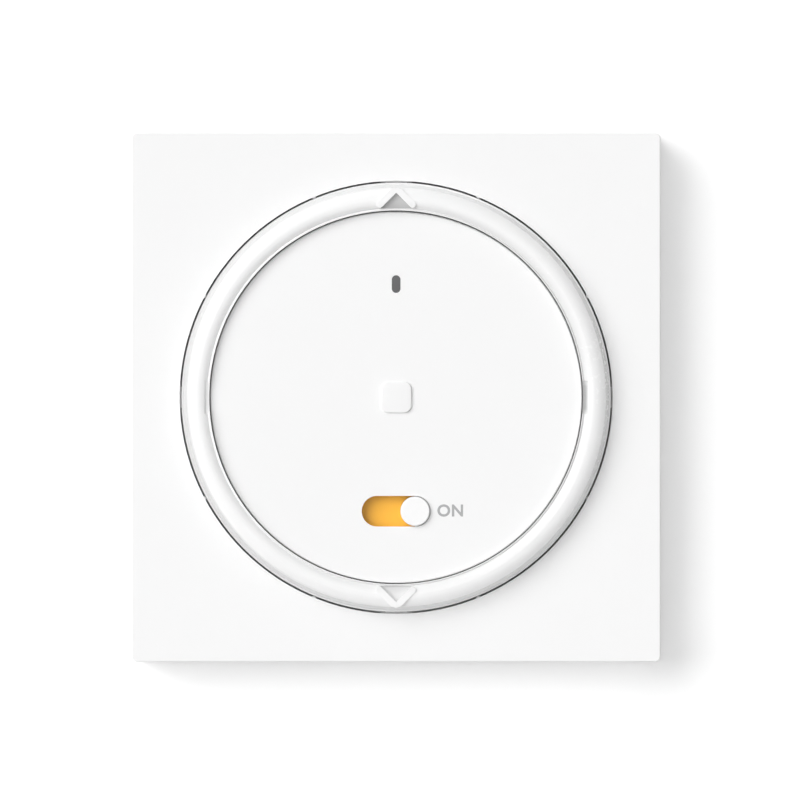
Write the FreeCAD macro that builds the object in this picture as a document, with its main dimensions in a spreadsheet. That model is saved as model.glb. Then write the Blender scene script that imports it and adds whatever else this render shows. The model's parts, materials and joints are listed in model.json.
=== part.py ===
import FreeCAD, Part
import os
import re
import Sketcher
from FreeCAD import Placement, Rotation, Vector

# A square wall remote control: a cover frame, a rocker ring, a push button and a slide switch
# over a coin-cell module that clips to a screwed wall plate.
# Every piece is drawn lying on its back: x to the right, y up the wall, z from the wall to the user.
# Its placement then stands it up against the wall plane y = 0 with +Z up, so the front looks along -Y.

# Driving sizes in millimetres and degrees
sizes = {
    # Cover frame
    "frame_side": 80.0,
    "frame_depth": 10.0,
    "frame_wall": 1.8,
    "frame_face": 1.8,
    "frame_wall_gap": 0.3,
    "frame_corner_radius": 0.8,
    "frame_edge_radius": 0.2,
    "ring_frame_gap": 0.3,
    "collar_wall": 1.4,
    "collar_depth": 3.0,
    "gap_rib_radius": 0.45,
    "gap_rib_reach": 0.2,
    "gap_rib_steep_angle": 22.3,
    "gap_rib_flat_angle": 62.2,
    "gap_rib_drop": 0.25,
    "gap_rib_height": 1.2,
    "gap_pad_width": 4.8,
    "gap_pad_drop": 0.7,
    "gap_pad_height": 0.7,
    "grip_width": 6.0,
    "grip_height": 5.0,
    "grip_gap": 0.1,
    # Wall plate and its spring clips
    "plate_margin": 3.2,
    "plate_thickness": 1.8,
    "plate_corner_radius": 3.0,
    "plate_window_radius": 18.0,
    "wall_screw_inset": 5.0,
    "wall_slot_width": 4.2,
    "wall_slot_length": 7.0,
    "rivet_radius": 0.9,
    "rivet_gap": 0.1,
    "rivet_head_radius": 1.6,
    "rivet_head_height": 0.4,
    "rivet_tail_radius": 1.5,
    "rivet_tail_height": 0.5,
    "rivet_recess": 0.1,
    "clip_thickness": 0.5,
    "clip_width": 6.0,
    "clip_foot": 3.5,
    "clip_gap": 0.7,
    "clip_bite": 0.25,
    "clip_hook_height": 1.0,
    "clip_tip": 0.2,
    # Rear housing
    "cup_radius": 25.0,
    "cup_wall": 1.4,
    "housing_gap": 0.2,
    "housing_floor": 1.2,
    "groove_depth": 0.5,
    "groove_height": 1.4,
    "groove_margin": 0.3,
    "flange_thickness": 1.2,
    "flange_inset": 0.15,
    "rim_wall": 1.2,
    "rim_rise": 0.1,
    "boss_radius": 2.2,
    "module_screw_x": 19.0,
    "module_screw_y": 9.0,
    # Coin cell, its cover and contacts
    "cell_diameter": 24.5,
    "cell_thickness": 3.0,
    "cell_drop": 8.0,
    "cell_gap": 0.3,
    "cell_step": 0.4,
    "contact_room": 0.7,
    "cover_thickness": 1.1,
    "cover_ring_gap": 0.3,
    "cover_ring_wall": 0.6,
    "cover_ring_height": 1.0,
    "cover_gap": 0.25,
    "cover_tab_reach": 1.45,
    "cover_tab_width": 5.0,
    "cover_tab_gap": 0.05,
    "cover_turn": 35.0,
    "coin_slot_length": 10.0,
    "coin_slot_width": 1.6,
    "coin_slot_depth": 0.6,
    "contact_sheet": 0.3,
    "contact_width": 5.0,
    "contact_gap": 0.1,
    "contact_tab": 2.6,
    "minus_length": 12.0,
    "minus_bend": 1.5,
    "minus_tip": 0.5,
    "minus_gap": 0.07,
    # Circuit board and what is soldered to it
    "pcb_thickness": 1.0,
    "pcb_gap": 0.2,
    "shield_length": 10.0,
    "shield_width": 8.0,
    "shield_height": 1.9,
    "shield_sheet": 0.3,
    "shield_x": 8.0,
    "shield_y": 13.0,
    "controller_side": 6.0,
    "controller_height": 0.9,
    "crystal_length": 3.2,
    "crystal_width": 2.5,
    "crystal_height": 0.8,
    "crystal_x": 0.5,
    "chip_length": 1.6,
    "chip_width": 0.8,
    "chip_row_y": 7.5,
    "chip_pitch": 2.6,
    "antenna_gap": 1.2,
    "antenna_sheet": 0.4,
    "antenna_height": 2.0,
    "antenna_sweep": 60.0,
    "switch_side": 4.0,
    "switch_height": 1.4,
    "switch_travel": 0.3,
    "switch_gap": 0.05,
    "plunger_radius": 0.9,
    "plunger_reach": 0.55,
    "plunger_depth": 0.3,
    "pairing_x": 9.0,
    "pairing_y": 13.0,
    "pairing_radius": 1.5,
    "pairing_gap": 0.25,
    "pairing_flange": 0.8,
    "pairing_flange_height": 0.6,
    "pairing_stem_radius": 1.0,
    "pad_height": 0.08,
    "pad_length": 3.0,
    "pad_width": 0.8,
    "pad_split": 0.6,
    # Front chassis
    "chassis_gap": 0.8,
    "chassis_lift": 1.1,
    "chassis_thickness": 0.9,
    "chassis_foot_wall": 1.2,
    "chassis_boss_radius": 2.4,
    "stop_window_gap": 1.0,
    "lens_window_radius": 2.4,
    "ear_half_width": 2.0,
    "ear_back": 0.9,
    "ear_clearance": 0.95,
    "ear_length": 2.2,
    "ear_head": 1.5,
    "pivot_lift": 1.7,
    "pivot_radius": 0.8,
    "pivot_clearance": 0.06,
    "pivot_length": 1.65,
    "pivot_end_gap": 0.15,
    "screw_head_radius": 1.7,
    "screw_head_height": 0.8,
    "screw_shank_radius": 0.7,
    "screw_length": 5.0,
    "screw_hole_gap": 0.3,
    "screw_bite_gap": 0.02,
    "screw_sink": 0.5,
    "screw_square": 0.9,
    "screw_square_depth": 0.4,
    # Slide switch
    "slot_drop": 17.2,
    "slot_length": 10.4,
    "slot_width": 4.64,
    "knob_gap": 0.1,
    "knob_rise": 0.7,
    "knob_edge_radius": 0.25,
    "slider_thickness": 0.7,
    "slider_half_width": 3.2,
    "slider_margin": 0.5,
    "slide_clearance": 0.05,
    "lip_reach": 0.45,
    "lip_thickness": 0.5,
    "channel_floor": 0.8,
    "channel_wall": 1.05,
    "channel_end": 0.7,
    "flag_depth": 0.4,
    "flag_gap": 0.03,
    "flag_margin": 0.3,
    "wiper_width": 2.0,
    "wiper_length": 4.0,
    "wiper_sheet": 0.2,
    "wiper_bend": 0.9,
    "wiper_tip": 0.25,
    "wiper_gap": 0.05,
    "wiper_slot_gap": 0.4,
    # Rocker ring
    "ring_outer_radius": 32.45,
    "ring_width": 4.25,
    "ring_lift": 0.8,
    "ring_wall": 0.9,
    "crown_hollow_step": 0.54,
    "crest_rise": 1.3,
    "crest_inset": 2.6,
    "crown_height": 0.45,
    "crease_inset": 0.3,
    "inner_lip_width": 0.15,
    "inner_lip_rise": 0.15,
    "band_inset": 0.8,
    "band_foot_inset": 0.25,
    "band_drop": 0.63,
    "outer_lip_rise": 0.55,
    "outer_lip_step": 0.15,
    "tilt_mark_half_length": 2.5,
    "tilt_mark_width": 0.7,
    "tilt_mark_depth": 0.25,
    "chevron_half_width": 2.475,
    "chevron_stroke": 0.99,
    "chevron_inset": 0.9,
    "chevron_round": 1.3,
    "chevron_rise": 0.15,
    "chevron_root": 1.45,
    "chevron_recess": 0.15,
    "key_notch_half_width": 3.9,
    "key_notch_height": 1.0,
    "notch_margin": 0.2,
    "ear_notch_gap": 0.5,
    "ear_notch_room": 0.35,
    "post_length": 5.0,
    "post_thickness": 1.6,
    # Silicone domes
    "key_inset": 2.85,
    "key_pad_half_width": 3.2,
    "key_pad_depth": 1.9,
    "mat_thickness": 0.4,
    "key_dome_radius": 0.9,
    "key_dome_height": 1.6,
    "dome_gap": 0.05,
    "stop_mat_radius": 8.5,
    "stop_dome_radius": 4.0,
    "stop_dome_height": 1.9,
    # Centre button and its lens
    "disc_gap": 0.15,
    "disc_thickness": 0.8,
    "disc_skirt_wall": 0.95,
    "disc_edge_radius": 0.2,
    "press_travel": 0.4,
    "press_clearance": 0.1,
    "lip_clearance": 0.2,
    "rib_ring_radius": 11.8,
    "rib_ring_wall": 0.8,
    "rib_ring_height": 0.4,
    "stop_post_radius": 1.6,
    "leg_radius": 22.0,
    "leg_thickness": 0.8,
    "leg_width": 3.0,
    "leg_hook": 0.5,
    "leg_hook_height": 0.5,
    "leg_gap": 0.05,
    "leg_window_gap": 0.2,
    "lens_length": 2.63,
    "lens_width": 1.27,
    "lens_y": 17.1,
    "lens_gap": 0.02,
    "lens_collar": 0.5,
    "lens_collar_height": 0.5,
    "lens_proud": 0.04,
    "led_length": 1.6,
    "led_width": 0.8,
    "led_height": 0.7,
}

# Levels along z, each the sum of what lies under it
plate_front = "plate_thickness"
housing_back = f"({plate_front} + housing_gap)"
housing_inside = f"({housing_back} + housing_floor)"
cell_back = f"({housing_inside} + cell_gap)"
cell_front = f"({cell_back} + cell_thickness)"
pcb_back = f"({cell_front} + contact_room)"
pcb_front = f"({pcb_back} + pcb_thickness)"
flange_back = f"({pcb_back} - flange_thickness)"
chassis_back = f"({pcb_front} + chassis_lift)"
chassis_front = f"({chassis_back} + chassis_thickness)"
slider_back = f"({chassis_back} + slide_clearance)"
slider_front = f"({slider_back} + slider_thickness)"
lip_back = f"({slider_front} + slide_clearance)"
channel_front = f"({lip_back} + lip_thickness)"
disc_back = f"({channel_front} + press_travel + lip_clearance)"
disc_front = f"({disc_back} + disc_thickness)"
skirt_back = f"({chassis_front} + press_travel + press_clearance)"
knob_front = f"({disc_front} + knob_rise)"
pivot_height = f"({pcb_front} + pivot_lift)"
ring_back = f"({pcb_front} + ring_lift)"
crest_front = f"({disc_front} + crest_rise)"
crown_foot = f"({crest_front} - crown_height)"
frame_back = "frame_wall_gap"
face_back = "(frame_depth - frame_face)"
groove_front = f"({flange_back} - groove_margin)"
groove_back = f"({groove_front} - groove_height)"

# Radii and places across the wall, worked out from the driving sizes
plate_side = "(frame_side - 2 * (frame_wall + plate_margin))"
wall_screw_x = f"({plate_side} / 2 - wall_screw_inset)"
ring_inner_radius = "(ring_outer_radius - ring_width)"
opening_radius = "(ring_outer_radius + ring_frame_gap)"
disc_radius = f"({ring_inner_radius} - disc_gap)"
chassis_radius = f"({ring_inner_radius} - chassis_gap)"
flange_radius = "(ring_outer_radius - flange_inset)"
rim_inner_radius = f"({flange_radius} - rim_wall)"
pcb_radius = f"({rim_inner_radius} - pcb_gap)"
antenna_radius = "(cup_radius - cup_wall - antenna_gap - antenna_sheet)"
cell_radius = "(cell_diameter / 2)"
cover_ring_radius = f"({cell_radius} + cover_ring_gap)"
cover_radius = f"({cover_ring_radius} + cover_ring_wall)"
cover_hole_radius = f"({cover_radius} + cover_gap)"
knob_radius = "(slot_width / 2 - knob_gap)"
knob_x = "(slot_length / 2 - slot_width / 2)"
slider_left = "(-slot_length / 2 - slider_margin)"
slider_right = f"(slot_length / 2 + 2 * {knob_x} + slider_margin)"
channel_left = f"({slider_left} - 2 * {knob_x} - channel_end / 2)"
channel_right = f"({slider_right} + channel_end / 2)"
channel_half_width = "(slider_half_width + slide_clearance)"
ear_outer = "(ring_outer_radius - ring_wall - ear_clearance)"
ear_inner = f"({ear_outer} - ear_length)"
key_radius = "(ring_outer_radius - key_inset)"
clip_radius = "(cup_radius + clip_gap)"
rivet_x = f"({clip_radius} + clip_thickness + clip_foot / 2)"
screw_signs = [(side, end) for side in (-1, 1) for end in (-1, 1)]
screw_places = [(f"{side} * module_screw_x", f"{end} * module_screw_y") for side, end in screw_signs]

document = FreeCAD.newDocument("wall_remote")
sheet = document.addObject("Spreadsheet::Sheet", "Sizes")
for row, (size_name, size_value) in enumerate(sizes.items(), 1):
    sheet.set(f"A{row}", size_name)
    sheet.set(f"B{row}", str(size_value))
    sheet.setAlias(f"B{row}", size_name)
document.recompute()
upright = Placement(Vector(), Rotation(Vector(1, 0, 0), 90))
eighth_turn = 45
point_tolerance = 0.001
edge_tolerance = 0.01


def link(text):
    """Point every size named in an expression at its cell in the sheet."""
    return re.sub(r"[a-z_]+", lambda word: f"Sizes.{word[0]}" if word[0] in sizes else word[0], text)


def value(text):
    """Work out an expression in the sizes."""
    return float(sheet.evalExpression(link(text)))


def bind(item, field, text):
    """Tie one property of an object to an expression in the sizes."""
    item.setExpression(field, link(text))


# Sketches


def origin_feature(body, role):
    return next(feature for feature in body.Origin.OriginFeatures if feature.Role == role)


def start_body(name):
    body = document.addObject("PartDesign::Body", name)
    body.Label = name
    return body


def sketch_on(body, name, height="0", plane="XY_Plane", turn=0):
    """Attach a sketch to a plane of its body's origin, raised along the plane's normal and turned about z."""
    sketch = body.newObject("Sketcher::SketchObject", name)
    sketch.AttachmentSupport = (origin_feature(body, plane), [""])
    sketch.MapMode = "FlatFace"
    turn_axis = Vector(0, 0, 1) if plane == "XY_Plane" else Vector(0, 1, 0)
    sketch.AttachmentOffset = Placement(Vector(), Rotation(turn_axis, turn))
    bind(sketch, "AttachmentOffset.Base.z", height)
    return sketch


def hold(sketch, kind, where, text):
    """Add a dimension to a sketch and tie it to an expression."""
    number = sketch.addConstraint(Sketcher.Constraint(kind, *where, value(text)))
    bind(sketch, f"Constraints[{number}]", text)


def hold_point(sketch, part, end, x, y):
    """Dimension a point of a sketch from the sketch's origin."""
    hold(sketch, "DistanceX", (-1, 1, part, end), x)
    hold(sketch, "DistanceY", (-1, 1, part, end), y)


def circle(sketch, x, y, radius):
    centre = Vector(value(x), value(y), 0)
    part = sketch.addGeometry(Part.Circle(centre, Vector(0, 0, 1), value(radius)), False)
    hold(sketch, "Radius", (part,), radius)
    hold_point(sketch, part, 3, x, y)


def outline(sketch, corners, arcs=None):
    """Close a loop through the corners; arcs gives the side after a corner a point that it bends through."""
    arcs = arcs or {}
    spots = [Vector(value(x), value(y), 0) for x, y in corners]
    sides = []
    for number, spot in enumerate(spots):
        following = spots[(number + 1) % len(spots)]
        if number in arcs:
            through = Vector(value(arcs[number][0]), value(arcs[number][1]), 0)
            part = sketch.addGeometry(Part.Arc(spot, through, following), False)
        else:
            part = sketch.addGeometry(Part.LineSegment(spot, following), False)
        is_forward = sketch.getPoint(part, 1).isEqual(spot, point_tolerance)
        sides.append((part, 1, 2) if is_forward else (part, 2, 1))
    for number, (part, begin, _) in enumerate(sides):
        previous, _, end = sides[number - 1]
        sketch.addConstraint(Sketcher.Constraint("Coincident", previous, end, part, begin))
        hold_point(sketch, part, begin, *corners[number])
    for number, (x, y) in arcs.items():
        mark = sketch.addGeometry(Part.Point(Vector(value(x), value(y), 0)), True)
        hold_point(sketch, mark, 1, x, y)
        sketch.addConstraint(Sketcher.Constraint("PointOnObject", mark, 1, sides[number][0]))


def rectangle(sketch, left, right, bottom, top):
    outline(sketch, [(left, bottom), (right, bottom), (right, top), (left, top)])


def centred_rectangle(sketch, x, y, length, width):
    left_right = (f"{x} - {length} / 2", f"{x} + {length} / 2")
    bottom_top = (f"{y} - {width} / 2", f"{y} + {width} / 2")
    rectangle(sketch, *left_right, *bottom_top)


def level_slot(sketch, x, y, length, width):
    """Draw a round-ended slot that lies along the sketch's first axis."""
    run = f"({length} / 2 - {width} / 2)"
    corners = [
        (f"{x} - {run}", f"{y} - {width} / 2"),
        (f"{x} + {run}", f"{y} - {width} / 2"),
        (f"{x} + {run}", f"{y} + {width} / 2"),
        (f"{x} - {run}", f"{y} + {width} / 2"),
    ]
    outline(sketch, corners, {1: (f"{x} + {length} / 2", y), 3: (f"{x} - {length} / 2", y)})


def upright_slot(sketch, x, y, length, width):
    """Draw a round-ended slot that lies along the sketch's second axis."""
    run = f"({length} / 2 - {width} / 2)"
    corners = [
        (f"{x} - {width} / 2", f"{y} - {run}"),
        (f"{x} + {width} / 2", f"{y} - {run}"),
        (f"{x} + {width} / 2", f"{y} + {run}"),
        (f"{x} - {width} / 2", f"{y} + {run}"),
    ]
    outline(sketch, corners, {0: (x, f"{y} - {length} / 2"), 2: (x, f"{y} + {length} / 2")})


# Features


def pad(body, sketch, length, both_ways=False):
    feature = body.newObject("PartDesign::Pad", f"{sketch.Name}_pad")
    feature.Profile = sketch
    bind(feature, "Length", length)
    feature.Midplane = both_ways
    return feature


def pocket(body, sketch, depth):
    """Cut along the sketch's normal, the same way as a pad grows."""
    feature = body.newObject("PartDesign::Pocket", f"{sketch.Name}_pocket")
    feature.Profile = sketch
    feature.Reversed = True
    bind(feature, "Length", depth)
    return feature


def revolve(body, sketch):
    feature = body.newObject("PartDesign::Revolution", f"{sketch.Name}_revolution")
    feature.Profile = sketch
    feature.ReferenceAxis = (sketch, ["V_Axis"])
    return feature


def repeat_round(body, features, count):
    """Repeat features round z."""
    pattern = body.newObject("PartDesign::PolarPattern", f"{features[0].Name}_round")
    pattern.Originals = features
    pattern.Axis = (origin_feature(body, "Z_Axis"), [""])
    pattern.Angle = 360
    pattern.Occurrences = count
    body.Tip = pattern
    return pattern


def fillet(body, radius, wanted):
    """Round the edges of the body so far that pass a test."""
    document.recompute()
    base = body.Tip
    names = [f"Edge{number}" for number, edge in enumerate(base.Shape.Edges, 1) if wanted(edge)]
    feature = body.newObject("PartDesign::Fillet", f"{base.Name}_fillet")
    feature.Base = (base, names)
    bind(feature, "Radius", radius)
    return feature


def is_upright(edge):
    """Whether an edge runs along z."""
    box = edge.BoundBox
    return box.ZLength > edge_tolerance > max(box.XLength, box.YLength)


def lies_at(edge, height):
    """Whether an edge lies flat at a height."""
    box = edge.BoundBox
    return max(box.ZLength, abs(box.ZMin - height)) < edge_tolerance


def plain_block(name, back, height, x, y, length, width):
    """Make a rectangular piece from its centre, sides and height."""
    body = start_body(name)
    sketch = sketch_on(body, f"{name}_outline", back)
    centred_rectangle(sketch, x, y, length, width)
    pad(body, sketch, height)
    return body


# Fixed to the wall


def make_wall_plate():
    body = start_body("wall_plate")
    outer = sketch_on(body, "plate_outline")
    centred_rectangle(outer, "0", "0", plate_side, plate_side)
    pad(body, outer, "plate_thickness")
    fillet(body, "plate_corner_radius", is_upright)
    window = sketch_on(body, "plate_window")
    circle(window, "0", "0", "plate_window_radius")
    pocket(body, window, "plate_thickness")
    slot = sketch_on(body, "wall_screw_slot")
    level_slot(slot, wall_screw_x, "0", "wall_slot_length", "wall_slot_width")
    repeat_round(body, [pocket(body, slot, "plate_thickness")], 4)
    hole = sketch_on(body, "rivet_hole", turn=eighth_turn)
    circle(hole, rivet_x, "0", "rivet_radius + rivet_gap")
    seat = sketch_on(body, "rivet_seat", turn=eighth_turn)
    circle(seat, rivet_x, "0", "rivet_tail_radius + rivet_gap")
    seat_depth = "rivet_recess + rivet_tail_height"
    cuts = [pocket(body, hole, "plate_thickness"), pocket(body, seat, seat_depth)]
    repeat_round(body, cuts, 4)
    return body


def make_module_clips():
    """Four bent spring clips whose hooks reach into the groove round the cup."""
    body = start_body("module_clips")
    profile = sketch_on(body, "clip_profile", plane="XZ_Plane", turn=eighth_turn)
    middle = f"(({groove_back} + {groove_front}) / 2)"
    back_face = f"({clip_radius} + clip_thickness)"
    outline(
        profile,
        [
            (clip_radius, plate_front),
            (f"{back_face} + clip_foot", plate_front),
            (f"{back_face} + clip_foot", f"{plate_front} + clip_thickness"),
            (back_face, f"{plate_front} + clip_thickness"),
            (back_face, f"{middle} + clip_hook_height / 2 + clip_tip"),
            (clip_radius, f"{middle} + clip_hook_height / 2 + clip_tip"),
            (clip_radius, f"{middle} + clip_hook_height / 2"),
            ("cup_radius - clip_bite", middle),
            (clip_radius, f"{middle} - clip_hook_height / 2"),
        ],
    )
    bent = pad(body, profile, "clip_width", both_ways=True)
    hole = sketch_on(body, "clip_hole", plate_front, turn=eighth_turn)
    circle(hole, rivet_x, "0", "rivet_radius + rivet_gap")
    repeat_round(body, [bent, pocket(body, hole, "clip_thickness")], 4)
    return body


def make_clip_rivets():
    """Four rivets that hold the clips' feet, their tails sunk in the back of the plate."""
    body = start_body("clip_rivets")
    foot_front = f"({plate_front} + clip_thickness)"
    tail = sketch_on(body, "rivet_tail", "rivet_recess", turn=eighth_turn)
    circle(tail, rivet_x, "0", "rivet_tail_radius")
    shank = sketch_on(body, "rivet_shank", "rivet_recess", turn=eighth_turn)
    circle(shank, rivet_x, "0", "rivet_radius")
    head = sketch_on(body, "rivet_head", foot_front, turn=eighth_turn)
    circle(head, rivet_x, "0", "rivet_head_radius")
    lengths = ("rivet_tail_height", f"{foot_front} - rivet_recess", "rivet_head_height")
    steps = [pad(body, sketch, length) for sketch, length in zip((tail, shank, head), lengths)]
    repeat_round(body, steps, 4)
    return body


def make_decor_frame():
    """Cover frame: a square tray with a round opening, a collar behind it and ribs in the ring's gap."""
    body = start_body("decor_frame")
    outer = sketch_on(body, "frame_outline", frame_back)
    centred_rectangle(outer, "0", "0", "frame_side", "frame_side")
    pad(body, outer, f"frame_depth - {frame_back}")
    fillet(body, "frame_corner_radius", is_upright)
    front = value("frame_depth")
    fillet(body, "frame_edge_radius", lambda edge: lies_at(edge, front))
    hollow = sketch_on(body, "frame_hollow", frame_back)
    inside = "(frame_side - 2 * frame_wall)"
    centred_rectangle(hollow, "0", "0", inside, inside)
    pocket(body, hollow, f"{face_back} - {frame_back}")
    collar = sketch_on(body, "frame_collar", f"{face_back} - collar_depth")
    circle(collar, "0", "0", f"{opening_radius} + collar_wall")
    pad(body, collar, "collar_depth")
    opening = sketch_on(body, "frame_opening")
    circle(opening, "0", "0", opening_radius)
    pocket(body, opening, "frame_depth")
    ribs = sketch_on(body, "gap_ribs", "frame_depth - gap_rib_drop - gap_rib_height")
    rib_place = f"({opening_radius} + gap_rib_radius - gap_rib_reach)"
    for angle in ("gap_rib_steep_angle", "gap_rib_flat_angle"):
        for side in ("-1", "1"):
            for end in ("-1", "1"):
                rib_x = f"{side} * {rib_place} * sin({angle})"
                rib_y = f"{end} * {rib_place} * cos({angle})"
                circle(ribs, rib_x, rib_y, "gap_rib_radius")
    pad(body, ribs, "gap_rib_height")
    pads = sketch_on(body, "gap_pads", "frame_depth - gap_pad_drop - gap_pad_height")
    pad_inner = f"({opening_radius} - gap_rib_reach)"
    pad_outer = f"({opening_radius} + collar_wall / 2)"
    rectangle(pads, "-gap_pad_width / 2", "gap_pad_width / 2", pad_inner, pad_outer)
    rectangle(pads, "-gap_pad_width / 2", "gap_pad_width / 2", f"-{pad_outer}", f"-{pad_inner}")
    pad(body, pads, "gap_pad_height")
    grip = sketch_on(body, "plate_grip", frame_back)
    grip_inner = f"({plate_side} / 2 + grip_gap)"
    rectangle(grip, grip_inner, "frame_side / 2 - frame_wall / 2", "-grip_width / 2", "grip_width / 2")
    repeat_round(body, [pad(body, grip, "grip_height")], 4)
    return body


# Rear half of the module


def make_rear_housing():
    """Cup and flange turned as one profile, with the battery hole, screw bosses and the pairing hole."""
    body = start_body("rear_housing")
    profile = sketch_on(body, "housing_profile", plane="XZ_Plane")
    rim_front = f"({pcb_front} + rim_rise)"
    outline(
        profile,
        [
            ("0", housing_back),
            ("cup_radius", housing_back),
            ("cup_radius", groove_back),
            ("cup_radius - groove_depth", groove_back),
            ("cup_radius - groove_depth", groove_front),
            ("cup_radius", groove_front),
            ("cup_radius", flange_back),
            (flange_radius, flange_back),
            (flange_radius, rim_front),
            (rim_inner_radius, rim_front),
            (rim_inner_radius, pcb_back),
            ("cup_radius - cup_wall", pcb_back),
            ("cup_radius - cup_wall", housing_inside),
            ("0", housing_inside),
        ],
    )
    revolve(body, profile)
    bosses = sketch_on(body, "housing_bosses", housing_inside)
    for x, y in screw_places:
        circle(bosses, x, y, "boss_radius")
    pad(body, bosses, f"{pcb_back} - {housing_inside}")
    pilots = sketch_on(body, "housing_pilots", f"{chassis_front} - screw_sink - screw_length")
    for x, y in screw_places:
        circle(pilots, x, y, "screw_shank_radius + screw_bite_gap")
    pocket(body, pilots, "screw_length")
    battery_hole = sketch_on(body, "battery_hole", housing_back)
    circle(battery_hole, "0", "-cell_drop", cover_hole_radius)
    pocket(body, battery_hole, "housing_floor")
    notch_radius = "(cover_tab_width / 2 + 2 * cover_gap)"
    for side in ("-1", "1"):
        notch = sketch_on(body, "tab_notch", housing_back)
        circle(
            notch,
            f"{side} * {cover_radius} * cos(cover_turn)",
            f"-cell_drop - {side} * {cover_radius} * sin(cover_turn)",
            notch_radius,
        )
        pocket(body, notch, "housing_floor")
    pairing_hole = sketch_on(body, "pairing_hole", housing_back)
    circle(pairing_hole, "pairing_x", "pairing_y", "pairing_radius + pairing_gap")
    pocket(body, pairing_hole, "housing_floor")
    return body


def make_battery_cover():
    """Round cover with a ring round the cell, two bayonet tabs and a slot for a coin."""
    body = start_body("battery_cover")
    inside = f"({housing_back} + cover_thickness)"
    disc = sketch_on(body, "cover_disc", housing_back)
    circle(disc, "0", "-cell_drop", cover_radius)
    pad(body, disc, "cover_thickness")
    ring = sketch_on(body, "cover_ring", inside)
    circle(ring, "0", "-cell_drop", cover_radius)
    circle(ring, "0", "-cell_drop", cover_ring_radius)
    pad(body, ring, "cover_ring_height")
    tabs = sketch_on(body, "cover_tabs", f"{housing_inside} + cover_tab_gap")
    tab_root = f"({cover_ring_radius} + cover_ring_wall / 2)"
    tab_end = f"({cover_radius} + cover_tab_reach)"
    low = "-cell_drop - cover_tab_width / 2"
    high = "-cell_drop + cover_tab_width / 2"
    rectangle(tabs, tab_root, tab_end, low, high)
    rectangle(tabs, f"-{tab_end}", f"-{tab_root}", low, high)
    pad(body, tabs, f"{inside} + cover_ring_height - {housing_inside} - cover_tab_gap")
    coin_slot = sketch_on(body, "coin_slot", housing_back)
    level_slot(coin_slot, "0", "-cell_drop", "coin_slot_length", "coin_slot_width")
    pocket(body, coin_slot, "coin_slot_depth")
    return body


def make_coin_cell():
    """Lithium coin cell: its can opens towards the board, where the smaller minus cap steps out."""
    body = start_body("coin_cell")
    can = sketch_on(body, "cell_can", cell_back)
    circle(can, "0", "-cell_drop", cell_radius)
    pad(body, can, "cell_thickness - cell_step")
    cap = sketch_on(body, "cell_cap", f"{cell_front} - cell_step")
    circle(cap, "0", "-cell_drop", f"{cell_radius} - 2 * cell_step")
    pad(body, cap, "cell_step")
    return body


def make_battery_contact_plus():
    """Bent strip that stands beside the can and is soldered to the board."""
    body = start_body("battery_contact_plus")
    profile = sketch_on(body, "plus_profile", "cell_drop", plane="XZ_Plane")
    inner = f"({cell_radius} + contact_gap)"
    outer = f"({inner} + contact_sheet)"
    foot = f"({housing_back} + cover_thickness + cover_ring_height + cell_gap)"
    corners = [
        (inner, foot),
        (outer, foot),
        (outer, f"{pcb_back} - contact_sheet"),
        (f"{inner} + contact_tab", f"{pcb_back} - contact_sheet"),
        (f"{inner} + contact_tab", pcb_back),
        (inner, pcb_back),
    ]
    outline(profile, corners)
    pad(body, profile, "contact_width", both_ways=True)
    return body


def make_battery_contact_minus():
    """Leaf under the board whose bent middle presses on the cell's cap."""
    body = start_body("battery_contact_minus")
    profile = sketch_on(body, "minus_profile", "cell_drop", plane="XZ_Plane")
    leaf_back = f"({pcb_back} - contact_sheet)"
    corners = [
        ("-minus_length / 2", leaf_back),
        ("-minus_bend", leaf_back),
        ("-minus_tip", f"{cell_front} + minus_gap"),
        ("minus_tip", f"{cell_front} + minus_gap"),
        ("minus_bend", leaf_back),
        ("minus_length / 2", leaf_back),
        ("minus_length / 2", pcb_back),
        ("-minus_length / 2", pcb_back),
    ]
    outline(profile, corners)
    pad(body, profile, "contact_width", both_ways=True)
    return body


# Circuit board


def make_pcb():
    body = start_body("pcb")
    board = sketch_on(body, "board_outline", pcb_back)
    circle(board, "0", "0", pcb_radius)
    for x, y in screw_places:
        circle(board, x, y, "screw_shank_radius + screw_hole_gap")
    pad(body, board, "pcb_thickness")
    return body


def make_rf_shield():
    """Thin can soldered over the controller."""
    body = start_body("rf_shield")
    lid = sketch_on(body, "shield_outline", f"{pcb_back} - shield_height")
    centred_rectangle(lid, "-shield_x", "shield_y", "shield_length", "shield_width")
    pad(body, lid, "shield_height")
    hollow = sketch_on(body, "shield_hollow", f"{pcb_back} - shield_height + shield_sheet")
    centred_rectangle(
        hollow,
        "-shield_x",
        "shield_y",
        "(shield_length - 2 * shield_sheet)",
        "(shield_width - 2 * shield_sheet)",
    )
    pocket(body, hollow, "shield_height - shield_sheet")
    return body


def make_capacitors():
    """A row of equal chip capacitors on the back of the board."""
    body = start_body("capacitors")
    row = sketch_on(body, "chip_row", f"{pcb_back} - chip_width")
    for place in ("-2", "-1", "0", "1", "2"):
        centred_rectangle(row, f"crystal_x + {place} * chip_pitch", "chip_row_y", "chip_length", "chip_width")
    pad(body, row, "chip_width")
    return body


def make_antenna():
    """Sheet strip that follows the edge of the cup's inside."""
    body = start_body("antenna")
    section = sketch_on(body, "antenna_section", plane="YZ_Plane")
    antenna_back = f"{pcb_back} - antenna_height"
    antenna_edge = f"{antenna_radius} + antenna_sheet"
    rectangle(section, antenna_radius, antenna_edge, antenna_back, pcb_back)
    strip = revolve(body, section)
    strip.Midplane = True
    bind(strip, "Angle", "antenna_sweep")
    return body


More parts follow.
